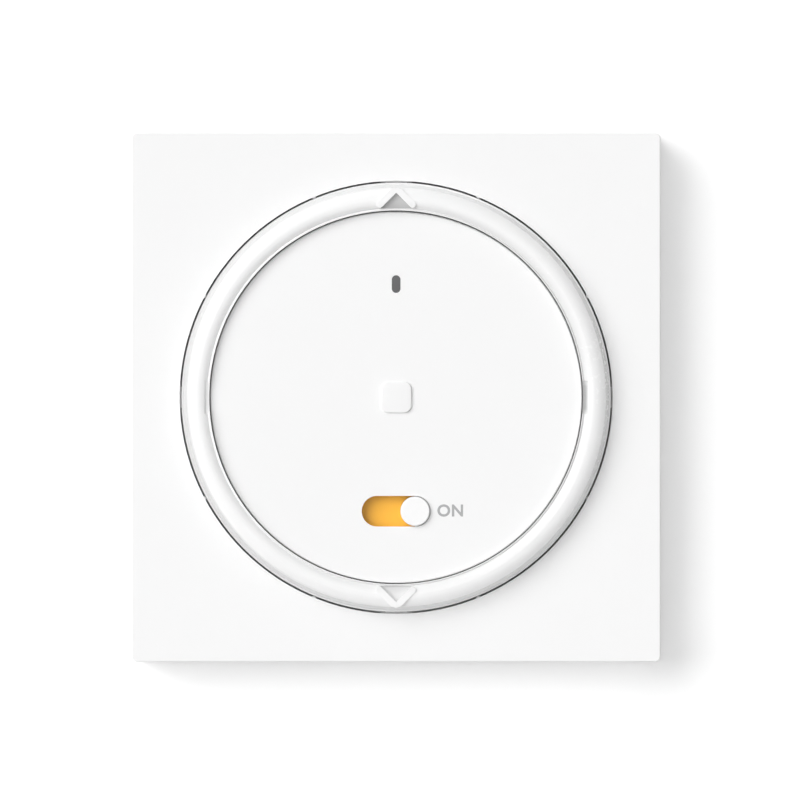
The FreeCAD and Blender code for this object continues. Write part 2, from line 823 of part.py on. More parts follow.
def make_pairing_switch():
    """Tact switch body with the blind hole that guides its plunger."""
    body = plain_block(
        "pairing_switch",
        f"{pcb_back} - switch_height",
        "switch_height",
        "pairing_x",
        "pairing_y",
        "switch_side",
        "switch_side",
    )
    hole = sketch_on(body, "switch_hole", f"{pcb_back} - switch_height")
    circle(hole, "pairing_x", "pairing_y", "plunger_radius + switch_gap")
    pocket(body, hole, "plunger_depth + switch_travel + switch_gap")
    return body


def make_pairing_plunger():
    body = start_body("pairing_plunger")
    round_end = sketch_on(body, "plunger_round", f"{pcb_back} - switch_height - plunger_reach")
    circle(round_end, "pairing_x", "pairing_y", "plunger_radius")
    pad(body, round_end, "plunger_reach + plunger_depth")
    return body


def make_pairing_button():
    """Small push button in the back of the cup, flanged so that it can't fall out."""
    body = start_body("pairing_button")
    cap = sketch_on(body, "pairing_cap", housing_back)
    circle(cap, "pairing_x", "pairing_y", "pairing_radius")
    pad(body, cap, "housing_floor + switch_gap")
    flange = sketch_on(body, "pairing_flange_round", f"{housing_inside} + switch_gap")
    circle(flange, "pairing_x", "pairing_y", "pairing_radius + pairing_flange")
    pad(body, flange, "pairing_flange_height")
    stem = sketch_on(body, "pairing_stem", f"{housing_inside} + switch_gap + pairing_flange_height")
    circle(stem, "pairing_x", "pairing_y", "pairing_stem_radius")
    stem_back = f"{housing_inside} + switch_gap + pairing_flange_height"
    pad(body, stem, f"{pcb_back} - switch_height - plunger_reach - ({stem_back})")
    return body


def make_contact_pads():
    """Three gold pads under the wiper: one common pad and one for each end of the slide."""
    body = start_body("contact_pads")
    pads = sketch_on(body, "pad_shapes", pcb_front)
    row = "(pad_width / 2 + pad_split / 2)"
    centred_rectangle(pads, "0", f"-slot_drop + {row}", f"(2 * {knob_x} + pad_length)", "pad_width")
    for side in ("-1", "1"):
        centred_rectangle(pads, f"{side} * {knob_x}", f"-slot_drop - {row}", "pad_length", "pad_width")
    pad(body, pads, "pad_height")
    return body


# Front half of the module


def make_front_chassis():
    """Plate on feet that carries the ring's bearings, the slider's channel and the button's guide windows."""
    body = start_body("front_chassis")
    plate = sketch_on(body, "chassis_plate", chassis_back)
    circle(plate, "0", "0", chassis_radius)
    pad(body, plate, "chassis_thickness")
    foot = sketch_on(body, "chassis_foot", pcb_front)
    circle(foot, "0", "0", chassis_radius)
    circle(foot, "0", "0", f"{chassis_radius} - chassis_foot_wall")
    pad(body, foot, "chassis_lift")
    bosses = sketch_on(body, "chassis_bosses", pcb_front)
    for x, y in screw_places:
        circle(bosses, x, y, "chassis_boss_radius")
    pad(body, bosses, "chassis_lift")
    screw_holes = sketch_on(body, "chassis_screw_holes", pcb_front)
    for x, y in screw_places:
        circle(screw_holes, x, y, "screw_shank_radius + screw_hole_gap")
    pocket(body, screw_holes, "chassis_lift + chassis_thickness")
    head_seats = sketch_on(body, "chassis_head_seats", f"{chassis_front} - screw_sink")
    for x, y in screw_places:
        circle(head_seats, x, y, "screw_head_radius + screw_hole_gap")
    pocket(body, head_seats, "screw_sink")
    stop_window = sketch_on(body, "stop_window", chassis_back)
    circle(stop_window, "0", "0", "stop_dome_radius + stop_window_gap")
    circle(stop_window, "0", "lens_y", "lens_window_radius")
    pocket(body, stop_window, "chassis_thickness")
    guide = sketch_on(body, "guide_window", chassis_back, turn=eighth_turn)
    window_inner = "(leg_radius - leg_thickness / 2 - leg_window_gap)"
    window_outer = "(leg_radius + leg_thickness / 2 + leg_window_gap)"
    half = "(leg_width / 2 + leg_window_gap)"
    rectangle(guide, window_inner, window_outer, f"-{half}", half)
    repeat_round(body, [pocket(body, guide, "chassis_thickness")], 4)
    add_slide_channel(body)
    add_ring_bearings(body)
    return body


def add_slide_channel(body):
    """Block with an undercut channel, closed at both ends, whose lips the slider's base plate snaps under."""
    low = f"(-slot_drop - {channel_half_width})"
    high = f"(-slot_drop + {channel_half_width})"
    block = sketch_on(body, "channel_block", f"{chassis_back} - channel_floor")
    walls = (f"{low} - channel_wall", f"{high} + channel_wall")
    ends = (f"{channel_left} - channel_end", f"{channel_right} + channel_end")
    rectangle(block, *ends, *walls)
    pad(body, block, f"{channel_front} - {chassis_back} + channel_floor")
    run = sketch_on(body, "channel_run", chassis_back)
    rectangle(run, channel_left, channel_right, low, high)
    pocket(body, run, f"{lip_back} - {chassis_back}")
    mouth = sketch_on(body, "channel_mouth", lip_back)
    rectangle(mouth, channel_left, channel_right, f"{low} + lip_reach", f"{high} - lip_reach")
    pocket(body, mouth, "lip_thickness")
    slot = sketch_on(body, "wiper_slot", f"{chassis_back} - channel_floor")
    slot_run = f"(2 * {knob_x} + wiper_length + 2 * wiper_slot_gap)"
    centred_rectangle(slot, "0", "-slot_drop", slot_run, "(wiper_width + 2 * wiper_slot_gap)")
    pocket(body, slot, "channel_floor")


def add_ring_bearings(body):
    """Two stepped ears with the blind bores that the ring's pins turn in."""
    for side, low_name in (("1", "right"), ("-1", "left")):
        base = sketch_on(body, f"{low_name}_ear_base", pcb_front)
        ends = (f"{side} * ({chassis_radius} - ear_back)", f"{side} * {ear_outer}")
        rectangle(base, *ends, "-ear_half_width", "ear_half_width")
        pad(body, base, f"{chassis_front} - {pcb_front}")
        head = sketch_on(body, f"{low_name}_ear_head", pcb_front)
        rectangle(head, f"{side} * {ear_inner}", f"{side} * {ear_outer}", "-ear_half_width", "ear_half_width")
        pad(body, head, f"{pivot_height} + ear_head - {pcb_front}")
        bore_end = f"({ear_outer} - pivot_length - pivot_end_gap)"
        bore_start = bore_end if side == "1" else f"-{ear_outer}"
        bore = sketch_on(body, f"{low_name}_bore", bore_start, plane="YZ_Plane")
        circle(bore, "0", pivot_height, "pivot_radius + pivot_clearance")
        pocket(body, bore, "pivot_length + pivot_end_gap")


def make_chassis_screws():
    """Four equal screws that draw the chassis, the board and the housing together."""
    body = start_body("chassis_screws")
    seat = f"({chassis_front} - screw_sink)"
    shanks = sketch_on(body, "screw_shanks", f"{seat} - screw_length + screw_hole_gap")
    heads = sketch_on(body, "screw_heads", seat)
    squares = sketch_on(body, "screw_squares", f"{seat} + screw_head_height - screw_square_depth")
    for x, y in screw_places:
        circle(shanks, x, y, "screw_shank_radius")
        circle(heads, x, y, "screw_head_radius")
        centred_rectangle(squares, x, y, "screw_square", "screw_square")
    pad(body, shanks, "screw_length - screw_hole_gap")
    pad(body, heads, "screw_head_height")
    pocket(body, squares, "screw_square_depth")
    return body


def make_key_dome(name, side):
    """Silicone key under one end of the ring: a pad on the board with a tapered dome."""
    body = start_body(name)
    base = sketch_on(body, f"{name}_base", pcb_front)
    centred_rectangle(base, "0", f"{side} * {key_radius}", "(2 * key_pad_half_width)", "key_pad_depth")
    pad(body, base, "mat_thickness")
    dome = sketch_on(body, f"{name}_round", f"{pcb_front} + mat_thickness")
    circle(dome, "0", f"{side} * {key_radius}", "key_dome_radius")
    pad(body, dome, "key_dome_height - mat_thickness")
    return body


def make_stop_key_mat():
    """Silicone mat with one wide dome under the centre button, turned as one profile."""
    body = start_body("stop_key_mat")
    profile = sketch_on(body, "stop_mat_profile", plane="XZ_Plane")
    mat_front = f"({pcb_front} + mat_thickness)"
    dome_front = f"({pcb_front} + stop_dome_height)"
    top_radius = "(stop_dome_radius / 2)"
    corners = [
        ("0", mat_front),
        ("stop_dome_radius - mat_thickness", pcb_front),
        ("stop_mat_radius", pcb_front),
        ("stop_mat_radius", mat_front),
        ("stop_dome_radius", mat_front),
        (top_radius, dome_front),
        ("0", dome_front),
    ]
    outline(profile, corners)
    revolve(body, profile)
    return body


# What the user touches


def make_rocker_ring():
    """Hollow convex ring: a raised chevron at each end, a trunnion pin each side, a post over each key."""
    body = start_body("rocker_ring")
    turn_ring_shell(body)
    cut_ring_notches(body)
    for side, name in (("1", "right"), ("-1", "left")):
        pin_start = f"({ear_outer} - pivot_length)"
        pin_length = f"(ring_outer_radius - ring_wall / 2 - {pin_start})"
        start = pin_start if side == "1" else f"(-{pin_start} - {pin_length})"
        pin = sketch_on(body, f"{name}_pin", start, plane="YZ_Plane")
        circle(pin, "0", pivot_height, "pivot_radius")
        pad(body, pin, pin_length)
    for side, name in (("1", "upper"), ("-1", "lower")):
        post_back = f"({pcb_front} + key_dome_height + dome_gap)"
        post = sketch_on(body, f"{name}_post", post_back)
        centred_rectangle(post, "0", f"{side} * {key_radius}", "post_length", "post_thickness")
        pad(body, post, f"{crest_front} - ring_wall - {post_back}")
        draw_chevron(body, name, side)
    marks = sketch_on(body, "tilt_marks", f"{crown_foot} + inner_lip_rise - tilt_mark_depth")
    for side in ("-1", "1"):
        inner = f"{side} * ({ring_inner_radius} - disc_gap / 2)"
        outer = f"{side} * ({ring_inner_radius} + tilt_mark_width)"
        rectangle(marks, inner, outer, "-tilt_mark_half_length", "tilt_mark_half_length")
    pocket(body, marks, "crown_height")
    return body


def turn_ring_shell(body):
    """Turn the section: thin inner lip, crease, crown, steep outer band and outer lip over a hollow."""
    profile = sketch_on(body, "ring_profile", plane="XZ_Plane")
    crest_radius = "(ring_outer_radius - crest_inset)"
    crease_radius = f"({ring_inner_radius} + crease_inset)"
    band_radius = "(ring_outer_radius - band_inset)"
    band_front = f"({crest_front} - band_drop)"
    lip_front = "(frame_depth + outer_lip_rise)"
    hollow_inner = f"({ring_inner_radius} + ring_wall)"
    hollow_outer = "(ring_outer_radius - ring_wall)"
    hollow_front = f"({crest_front} - ring_wall)"
    corners = [
        (ring_inner_radius, ring_back),
        (hollow_inner, ring_back),
        (hollow_inner, f"{crown_foot} - crown_hollow_step"),
        (f"{band_radius} - crown_hollow_step", f"{crown_foot} - crown_hollow_step"),
        (hollow_outer, lip_front),
        (hollow_outer, ring_back),
        ("ring_outer_radius", ring_back),
        ("ring_outer_radius", lip_front),
        ("ring_outer_radius - band_foot_inset", lip_front),
        ("ring_outer_radius - band_foot_inset", f"{lip_front} + outer_lip_step"),
        (band_radius, band_front),
        (crest_radius, crest_front),
        (crease_radius, crown_foot),
        (f"{ring_inner_radius} + inner_lip_width", f"{crown_foot} + inner_lip_rise"),
        (ring_inner_radius, f"{crown_foot} + inner_lip_rise"),
    ]
    outer_bulge = arc_middle(crest_radius, crest_front, band_radius, band_front)
    inner_bulge = arc_middle(crest_radius, crest_front, crease_radius, crown_foot)
    under = (f"({hollow_inner} + {band_radius} - crown_hollow_step) / 2", hollow_front)
    outline(profile, corners, {2: under, 10: outer_bulge, 11: inner_bulge})
    revolve(body, profile)


def arc_middle(top_x, top_z, foot_x, foot_z):
    """The middle of the arc that leaves a crest level and comes down to a foot."""
    run = f"({foot_x} - {top_x})"
    fall = f"({top_z} - {foot_z})"
    radius = f"(({run}^2 + {fall}^2) / (2 * {fall}))"
    half = f"(asin(abs({run}) / {radius}) / 2)"
    return f"{top_x} + {run} / abs({run}) * {radius} * sin({half})", f"{top_z} - {radius} * (1 - cos({half}))"


def cut_ring_notches(body):
    """Openings in the ring's inner wall for the chassis ears and the silicone keys."""
    ears = sketch_on(body, "ear_notches", ring_back)
    keys = sketch_on(body, "key_notches", ring_back)
    inner = f"({ring_inner_radius} - notch_margin)"
    outer = f"({ring_inner_radius} + ring_wall + notch_margin)"
    ear_half = "(ear_half_width + ear_notch_gap)"
    for side in ("-1", "1"):
        wall = (f"{side} * {inner}", f"{side} * {outer}")
        rectangle(ears, *wall, f"-{ear_half}", ear_half)
        rectangle(keys, "-key_notch_half_width", "key_notch_half_width", *wall)
    pocket(body, ears, f"{pivot_height} + ear_head + ear_notch_room - {ring_back}")
    pocket(body, keys, "key_notch_height")


def draw_chevron(body, name, side):
    """Raised arrow with round leg ends and a rounded apex, and a flat recess between its legs."""
    sketch = sketch_on(body, f"{name}_chevron", f"{crest_front} - chevron_root")
    vertex = "(ring_outer_radius - chevron_inset)"
    offset = "(chevron_stroke / 2 * sqrt(0.5))"
    corner = f"({vertex} + chevron_stroke / 2 * sqrt(2))"
    shoulder = "(chevron_round * sqrt(0.5))"
    end_y = f"({vertex} - chevron_half_width)"
    points = [
        (f"-{shoulder}", f"{side} * ({corner} - {shoulder})"),
        (shoulder, f"{side} * ({corner} - {shoulder})"),
        (f"chevron_half_width + {offset}", f"{side} * ({end_y} + {offset})"),
        (f"chevron_half_width - {offset}", f"{side} * ({end_y} - {offset})"),
        ("0", f"{side} * ({vertex} - chevron_stroke / 2 * sqrt(2))"),
        (f"-chevron_half_width + {offset}", f"{side} * ({end_y} - {offset})"),
        (f"-chevron_half_width - {offset}", f"{side} * ({end_y} + {offset})"),
    ]
    arcs = {
        0: ("0", f"{side} * ({corner} - chevron_round * (sqrt(2) - 1))"),
        2: (f"chevron_half_width + {offset}", f"{side} * ({end_y} - {offset})"),
        5: (f"-chevron_half_width - {offset}", f"{side} * ({end_y} - {offset})"),
    }
    outline(sketch, points, arcs)
    pad(body, sketch, "chevron_root + chevron_rise")
    recess = sketch_on(body, f"{name}_recess", f"{crown_foot} - chevron_recess")
    inside = f"({vertex} - chevron_stroke / 2 * sqrt(2))"
    foot = f"({ring_inner_radius} + crease_inset)"
    triangle = [
        ("0", f"{side} * {inside}"),
        (f"{inside} - {foot}", f"{side} * {foot}"),
        (f"-({inside} - {foot})", f"{side} * {foot}"),
    ]
    outline(recess, triangle)
    pocket(body, recess, "crown_height + chevron_recess")


def make_centre_button():
    """Round button plate with a skirt, a stiffening ring, a post over the dome and four snap legs."""
    body = start_body("centre_button")
    profile = sketch_on(body, "disc_profile", plane="XZ_Plane")
    corners = [
        ("0", disc_back),
        (f"{disc_radius} - disc_skirt_wall", disc_back),
        (f"{disc_radius} - disc_skirt_wall", skirt_back),
        (disc_radius, skirt_back),
        (disc_radius, disc_front),
        ("0", disc_front),
    ]
    outline(profile, corners)
    revolve(body, profile)
    front = value(disc_front)
    fillet(body, "disc_edge_radius", lambda edge: lies_at(edge, front))
    rib = sketch_on(body, "stiffening_ring", f"{disc_back} - rib_ring_height")
    circle(rib, "0", "0", "rib_ring_radius")
    circle(rib, "0", "0", "rib_ring_radius - rib_ring_wall")
    pad(body, rib, "rib_ring_height")
    post = sketch_on(body, "stop_post", f"{pcb_front} + stop_dome_height + dome_gap")
    circle(post, "0", "0", "stop_post_radius")
    pad(body, post, f"{disc_back} - {pcb_front} - stop_dome_height - dome_gap")
    leg = sketch_on(body, "snap_leg", f"{chassis_back} - leg_gap - leg_hook_height", turn=eighth_turn)
    leg_inner = "(leg_radius - leg_thickness / 2)"
    leg_outer = "(leg_radius + leg_thickness / 2)"
    rectangle(leg, leg_inner, leg_outer, "-leg_width / 2", "leg_width / 2")
    leg_pad = pad(body, leg, f"{disc_back} - {chassis_back} + leg_gap + leg_hook_height")
    hook = sketch_on(body, "snap_hook", f"{chassis_back} - leg_gap - leg_hook_height", turn=eighth_turn)
    rectangle(hook, leg_inner, f"{leg_outer} + leg_hook", "-leg_width / 2", "leg_width / 2")
    repeat_round(body, [leg_pad, pad(body, hook, "leg_hook_height")], 4)
    slot = sketch_on(body, "slider_slot", f"{disc_back}")
    level_slot(slot, "0", "-slot_drop", "slot_length", "slot_width")
    pocket(body, slot, "disc_thickness")
    lens_hole = sketch_on(body, "lens_hole", f"{disc_back}")
    upright_slot(lens_hole, "0", "lens_y", "(lens_length + 2 * lens_gap)", "(lens_width + 2 * lens_gap)")
    pocket(body, lens_hole, "disc_thickness")
    return body


def make_indicator_lens():
    """Smoked light guide pressed into the button from behind, where its collar stops it."""
    body = start_body("indicator_lens")
    collar = sketch_on(body, "lens_collar_outline", f"{disc_back} - lens_collar_height")
    upright_slot(collar, "0", "lens_y", "(lens_length + 2 * lens_collar)", "(lens_width + 2 * lens_collar)")
    pad(body, collar, "lens_collar_height")
    window = sketch_on(body, "lens_outline", disc_back)
    upright_slot(window, "0", "lens_y", "lens_length", "lens_width")
    pad(body, window, "disc_thickness + lens_proud")
    return body


def make_slider_knob():
    """Round knob on the flat base plate that runs in the channel and covers the slot from behind."""
    body = start_body("slider_knob")
    plate = sketch_on(body, "slider_plate", slider_back)
    low = "-slot_drop - slider_half_width"
    high = "-slot_drop + slider_half_width"
    rectangle(plate, slider_left, slider_right, low, high)
    pad(body, plate, "slider_thickness")
    recess = sketch_on(body, "flag_recess", f"{slider_front} - flag_depth")
    flag_low = f"{low} + lip_reach + flag_margin"
    flag_high = f"{high} - lip_reach - flag_margin"
    rectangle(recess, f"{slider_left} + flag_margin", knob_x, flag_low, flag_high)
    pocket(body, recess, "flag_depth")
    knob = sketch_on(body, "knob_round", f"{slider_front} - flag_depth")
    circle(knob, knob_x, "-slot_drop", knob_radius)
    pad(body, knob, f"{knob_front} - {slider_front} + flag_depth")
    front = value(knob_front)
    fillet(body, "knob_edge_radius", lambda edge: lies_at(edge, front))
    return body


def make_slider_flag():
    """Coloured inlay in the base plate, with a round bite for the knob."""
    body = start_body("slider_flag")
    sketch = sketch_on(body, "flag_outline", f"{slider_front} - flag_depth")
    low = "-slot_drop - slider_half_width + lip_reach + flag_margin + flag_gap"
    high = "-slot_drop + slider_half_width - lip_reach - flag_margin - flag_gap"
    rectangle(sketch, f"{slider_left} + flag_margin + flag_gap", f"{knob_x} - flag_gap", low, high)
    pad(body, sketch, "flag_depth")
    bite = sketch_on(body, "flag_bite", f"{slider_front} - flag_depth")
    circle(bite, knob_x, "-slot_drop", f"{knob_radius} + flag_gap")
    pocket(body, bite, "flag_depth")
    return body


def make_slider_wiper():
    """Bent spring contact under the base plate that bridges the board's pads."""
    body = start_body("slider_wiper")
    profile = sketch_on(body, "wiper_profile", "slot_drop", plane="XZ_Plane")
    sheet_back = f"({slider_back} - wiper_sheet)"
    tip_back = f"({pcb_front} + pad_height + wiper_gap)"
    corners = [
        (f"{knob_x} - wiper_length / 2", sheet_back),
        (f"{knob_x} - wiper_bend", sheet_back),
        (f"{knob_x} - wiper_tip", tip_back),
        (f"{knob_x} + wiper_tip", tip_back),
        (f"{knob_x} + wiper_bend", sheet_back),
        (f"{knob_x} + wiper_length / 2", sheet_back),
        (f"{knob_x} + wiper_length / 2", slider_back),
        (f"{knob_x} - wiper_length / 2", slider_back),
    ]
    outline(profile, corners)
    pad(body, profile, "wiper_width", both_ways=True)
    return body


def make_board_pieces():
    """Pieces soldered to the board that are plain blocks."""
    return [
        plain_block(
            "microcontroller",
            f"{pcb_back} - controller_height",
            "controller_height",
            "-shield_x",
            "shield_y",
            "controller_side",
            "controller_side",
        ),
        plain_block(
            "crystal",
            f"{pcb_back} - crystal_height",
            "crystal_height",
            "crystal_x",
            "shield_y",
            "crystal_length",
            "crystal_width",
        ),
        plain_block("indicator_led", pcb_front, "led_height", "0", "lens_y", "led_length", "led_width"),
    ]


pieces = [
    make_wall_plate(),
    make_module_clips(),
    make_clip_rivets(),
    make_decor_frame(),
    make_rear_housing(),
    make_battery_cover(),
    make_coin_cell(),
    make_battery_contact_plus(),
    make_battery_contact_minus(),
    make_pcb(),
    make_rf_shield(),
    *make_board_pieces(),
    make_capacitors(),
    make_antenna(),
    make_pairing_switch(),
    make_pairing_plunger(),
    make_pairing_button(),
    make_contact_pads(),
    make_front_chassis(),
    make_chassis_screws(),
    make_key_dome("up_key_dome", "1"),
    make_key_dome("down_key_dome", "-1"),
    make_stop_key_mat(),
    make_rocker_ring(),
    make_centre_button(),
    make_indicator_lens(),
    make_slider_knob(),
    make_slider_flag(),
    make_slider_wiper(),
]
for piece in pieces:
    piece.Placement = upright
document.recompute()

faults = [item.Name for item in document.Objects if {"Invalid", "Error"} & set(item.State)]
faults += [piece.Label for piece in pieces if piece.Shape.isNull() or not piece.Shape.isValid()]
if faults:
    raise RuntimeError(f"These did not build: {faults}")
os.makedirs("parts", exist_ok=True)
for piece in pieces:
    piece.Shape.exportStep(f"parts/{piece.Label}.step")
    print(piece.Label, len(piece.Shape.Solids), round(piece.Shape.Volume, 3))
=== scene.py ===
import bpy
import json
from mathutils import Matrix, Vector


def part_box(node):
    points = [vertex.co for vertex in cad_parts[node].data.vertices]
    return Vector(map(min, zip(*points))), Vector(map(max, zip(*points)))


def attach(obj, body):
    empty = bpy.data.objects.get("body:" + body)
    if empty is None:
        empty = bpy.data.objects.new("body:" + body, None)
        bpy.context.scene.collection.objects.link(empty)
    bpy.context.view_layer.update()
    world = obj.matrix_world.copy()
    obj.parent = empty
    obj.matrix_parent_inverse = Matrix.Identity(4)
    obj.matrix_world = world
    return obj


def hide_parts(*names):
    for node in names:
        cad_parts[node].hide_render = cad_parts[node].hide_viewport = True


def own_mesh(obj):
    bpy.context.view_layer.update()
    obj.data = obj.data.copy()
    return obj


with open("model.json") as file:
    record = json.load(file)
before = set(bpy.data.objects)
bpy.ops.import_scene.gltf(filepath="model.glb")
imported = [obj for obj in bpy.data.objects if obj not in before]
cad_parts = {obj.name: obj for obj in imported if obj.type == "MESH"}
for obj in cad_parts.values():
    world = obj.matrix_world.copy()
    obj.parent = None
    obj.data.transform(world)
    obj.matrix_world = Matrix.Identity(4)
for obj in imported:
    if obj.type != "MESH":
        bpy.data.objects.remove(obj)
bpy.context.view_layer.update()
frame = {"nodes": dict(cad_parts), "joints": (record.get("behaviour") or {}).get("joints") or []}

import json
import math

import bpy
from mathutils import Vector

scene = bpy.context.scene
nodes = frame["nodes"]
mm = 0.001
white = (1.0, 1.0, 1.0, 1.0)
upright = math.radians(90)                    # stands a flat or lying shape up against the wall
smoothAngle = math.radians(35)                # edges flatter than this are shaded smooth
squareOn = 0.9                                # how closely a face or an edge must follow the depth axis
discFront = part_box("centre_button")[0].y      # the button's face, towards the viewer
print("frame loaded:", len(nodes), "pieces")


# Working helpers

def dropSelection():
    if bpy.context.object and bpy.context.object.mode != "OBJECT":
        bpy.ops.object.mode_set(mode="OBJECT")
    bpy.ops.object.select_all(action="DESELECT")


def nameIt(name):
    piece = bpy.context.object
    piece.name = name
    piece.data.name = name
    return piece


def makeActive(piece):
    dropSelection()
    piece.select_set(True)
    bpy.context.view_layer.objects.active = piece


def fixPlace():
    # puts the place, the turn and the scale into the mesh
    bpy.ops.object.transform_apply(location=True, rotation=True, scale=True)


def choose(piece, kind, wanted):
    # leaves the piece in edit mode with the wanted faces or edges selected
    bpy.ops.object.mode_set(mode="OBJECT")
    for part in (*piece.data.vertices, *piece.data.edges, *piece.data.polygons):
        part.select = False
    for part in getattr(piece.data, kind):
        part.select = wanted(part)
    scene.tool_settings.mesh_select_mode = (False, kind == "edges", kind == "polygons")
    bpy.ops.object.mode_set(mode="EDIT")


def facesFront(face):
    return face.normal.y < -squareOn


def facesBack(face):
    return face.normal.y > squareOn


def chooseDeepEdges(piece):
    # the edges that run from the front to the back
    def runsDeep(edge):
        start, end = (piece.data.vertices[index].co for index in edge.vertices)
        return abs((end - start).normalized().y) > squareOn

    choose(piece, "edges", runsDeep)


def bevelChosen(reach, steps):
    bpy.ops.mesh.bevel(offset=reach, offset_type="OFFSET", segments=steps, affect="EDGES")


def settle(piece):
    makeActive(piece)
    fixPlace()
    bpy.ops.object.shade_smooth_by_angle(angle=smoothAngle)
    dropSelection()


def coat(piece, finish):
    piece.data.materials.clear()
    piece.data.materials.append(finish)


def carry(piece, body, finish):
    coat(piece, finish)
    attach(piece, body)


# Shared skins: groups that put out a colour, a roughness and a height

def startGroup(name, numbers, colours=("Colour",)):
    group = bpy.data.node_groups.new(name, "ShaderNodeTree")
    socket = group.interface.new_socket
    socket(name="Place", in_out="INPUT", socket_type="NodeSocketVector")
    for title in colours:
        socket(name=title, in_out="INPUT", socket_type="NodeSocketColor")
    for title, value in numbers.items():
        socket(name=title, in_out="INPUT", socket_type="NodeSocketFloat").default_value = value
    socket(name="Colour", in_out="OUTPUT", socket_type="NodeSocketColor")
    socket(name="Roughness", in_out="OUTPUT", socket_type="NodeSocketFloat")
    socket(name="Height", in_out="OUTPUT", socket_type="NodeSocketFloat")
    return group, group.nodes.new("NodeGroupInput"), group.nodes.new("NodeGroupOutput")


def noiseIn(group, place, scale, detail, roughness=0.55):
    noise = group.nodes.new("ShaderNodeTexNoise")
    noise.inputs["Detail"].default_value = detail
    noise.inputs["Roughness"].default_value = roughness
    group.links.new(place, noise.inputs["Vector"])
    if isinstance(scale, (int, float)):
        noise.inputs["Scale"].default_value = scale
    else:
        group.links.new(scale, noise.inputs["Scale"])
    return noise.outputs["Fac"]


def mathIn(group, operation, first, second=0.0):
    node = group.nodes.new("ShaderNodeMath")
    node.operation = operation
    for socket, item in zip(node.inputs, (first, second)):
        if isinstance(item, (int, float)):
            socket.default_value = item
        else:
            group.links.new(item, socket)
    return node.outputs[0]


def rangeIn(group, item, low, high, newLow=0.0, newHigh=1.0):
    node = group.nodes.new("ShaderNodeMapRange")
    for title, number in zip(("From Min", "From Max", "To Min", "To Max"), (low, high, newLow, newHigh)):
        node.inputs[title].default_value = number
    group.links.new(item, node.inputs["Value"])
    return node.outputs["Result"]


def blendIn(group, share, first, second):
    node = group.nodes.new("ShaderNodeMix")
    node.data_type = "RGBA"
    colourSockets = [socket for socket in node.inputs if socket.type == "RGBA"]
    group.links.new(share, node.inputs[0])
    group.links.new(first, colourSockets[0])
    group.links.new(second, colourSockets[1])
    return [socket for socket in node.outputs if socket.type == "RGBA"][0]


def shadeIn(group, colour, amount):
    # multiplies a colour by one minus the amount
    node = group.nodes.new("ShaderNodeVectorMath")
    node.operation = "SCALE"
    group.links.new(colour, node.inputs[0])
    group.links.new(mathIn(group, "SUBTRACT", 1.0, amount), node.inputs["Scale"])
    return node.outputs[0]


def spreadIn(group, given, item):
    # roughness: the skin's gloss, spread by a mask
    spread = mathIn(group, "MULTIPLY", item, given.outputs["Spread"])
    return mathIn(group, "ADD", given.outputs["Gloss"], spread)


def apartIn(group, place):
    # the three coordinates of a place: across, deep and along
    node = group.nodes.new("ShaderNodeSeparateXYZ")
    group.links.new(place, node.inputs[0])
    return node.outputs


mouldedSkin = {"inputs": {"Grain": 4200.0, "Flow": 45.0, "Tone": 0.012, "Gloss": 0.35, "Spread": 0.06, "Shade": 0.0},
               "detail": 2.0, "flowRoughness": 0.4, "cloud": (0.3, 0.7), "speck": (0.35, 0.65), "speckShare": 0.5}


def buildMouldedSkin():
    # spark-eroded tool texture: fine grain, with slow flow marks under it
    group, given, made = startGroup("mouldedSkin", mouldedSkin["inputs"])
    place, detail = given.outputs["Place"], mouldedSkin["detail"]
    grain = noiseIn(group, place, given.outputs["Grain"], detail)
    flow = noiseIn(group, place, given.outputs["Flow"], detail, mouldedSkin["flowRoughness"])
    cloud = rangeIn(group, flow, *mouldedSkin["cloud"])
    shade = mathIn(group, "MULTIPLY", cloud, given.outputs["Tone"])
    speck = mathIn(group, "MULTIPLY", rangeIn(group, grain, *mouldedSkin["speck"]), given.outputs["Tone"])
    shade = mathIn(group, "ADD", shade, mathIn(group, "MULTIPLY", speck, mouldedSkin["speckShare"]))
    # the Shade input adds painted shade handed in from outside, such as the rocker ring's
    shade = mathIn(group, "ADD", shade, given.outputs["Shade"])
    group.links.new(shadeIn(group, given.outputs["Colour"], shade), made.inputs["Colour"])
    wander = mathIn(group, "SUBTRACT", mathIn(group, "ADD", grain, flow), 1.0)      # two noises, each about a half
    group.links.new(spreadIn(group, given, wander), made.inputs["Roughness"])
    group.links.new(grain, made.inputs["Height"])
    return group


rolledSheet = {"inputs": {"Lines": 2600.0, "Stretch": 0.04, "Tone": 0.18, "Gloss": 0.28, "Spread": 0.16},
               "detail": 2.0, "stainScale": 160.0, "stainDetail": 3.0}


def buildRolledSheet():
    # strip metal: long scratches along one axis over a faint stain
    group, given, made = startGroup("rolledSheet", rolledSheet["inputs"])
    place = given.outputs["Place"]
    across, deep, along = apartIn(group, place)
    together = group.nodes.new("ShaderNodeCombineXYZ")
    group.links.new(mathIn(group, "MULTIPLY", across, given.outputs["Stretch"]), together.inputs[0])
    group.links.new(deep, together.inputs[1])
    group.links.new(along, together.inputs[2])
    lines = noiseIn(group, together.outputs[0], given.outputs["Lines"], rolledSheet["detail"])
    stain = noiseIn(group, place, rolledSheet["stainScale"], rolledSheet["stainDetail"])
    shade = mathIn(group, "MULTIPLY", mathIn(group, "MULTIPLY", lines, stain), given.outputs["Tone"])
    group.links.new(shadeIn(group, given.outputs["Colour"], shade), made.inputs["Colour"])
    group.links.new(spreadIn(group, given, lines), made.inputs["Roughness"])
    group.links.new(lines, made.inputs["Height"])
    return group


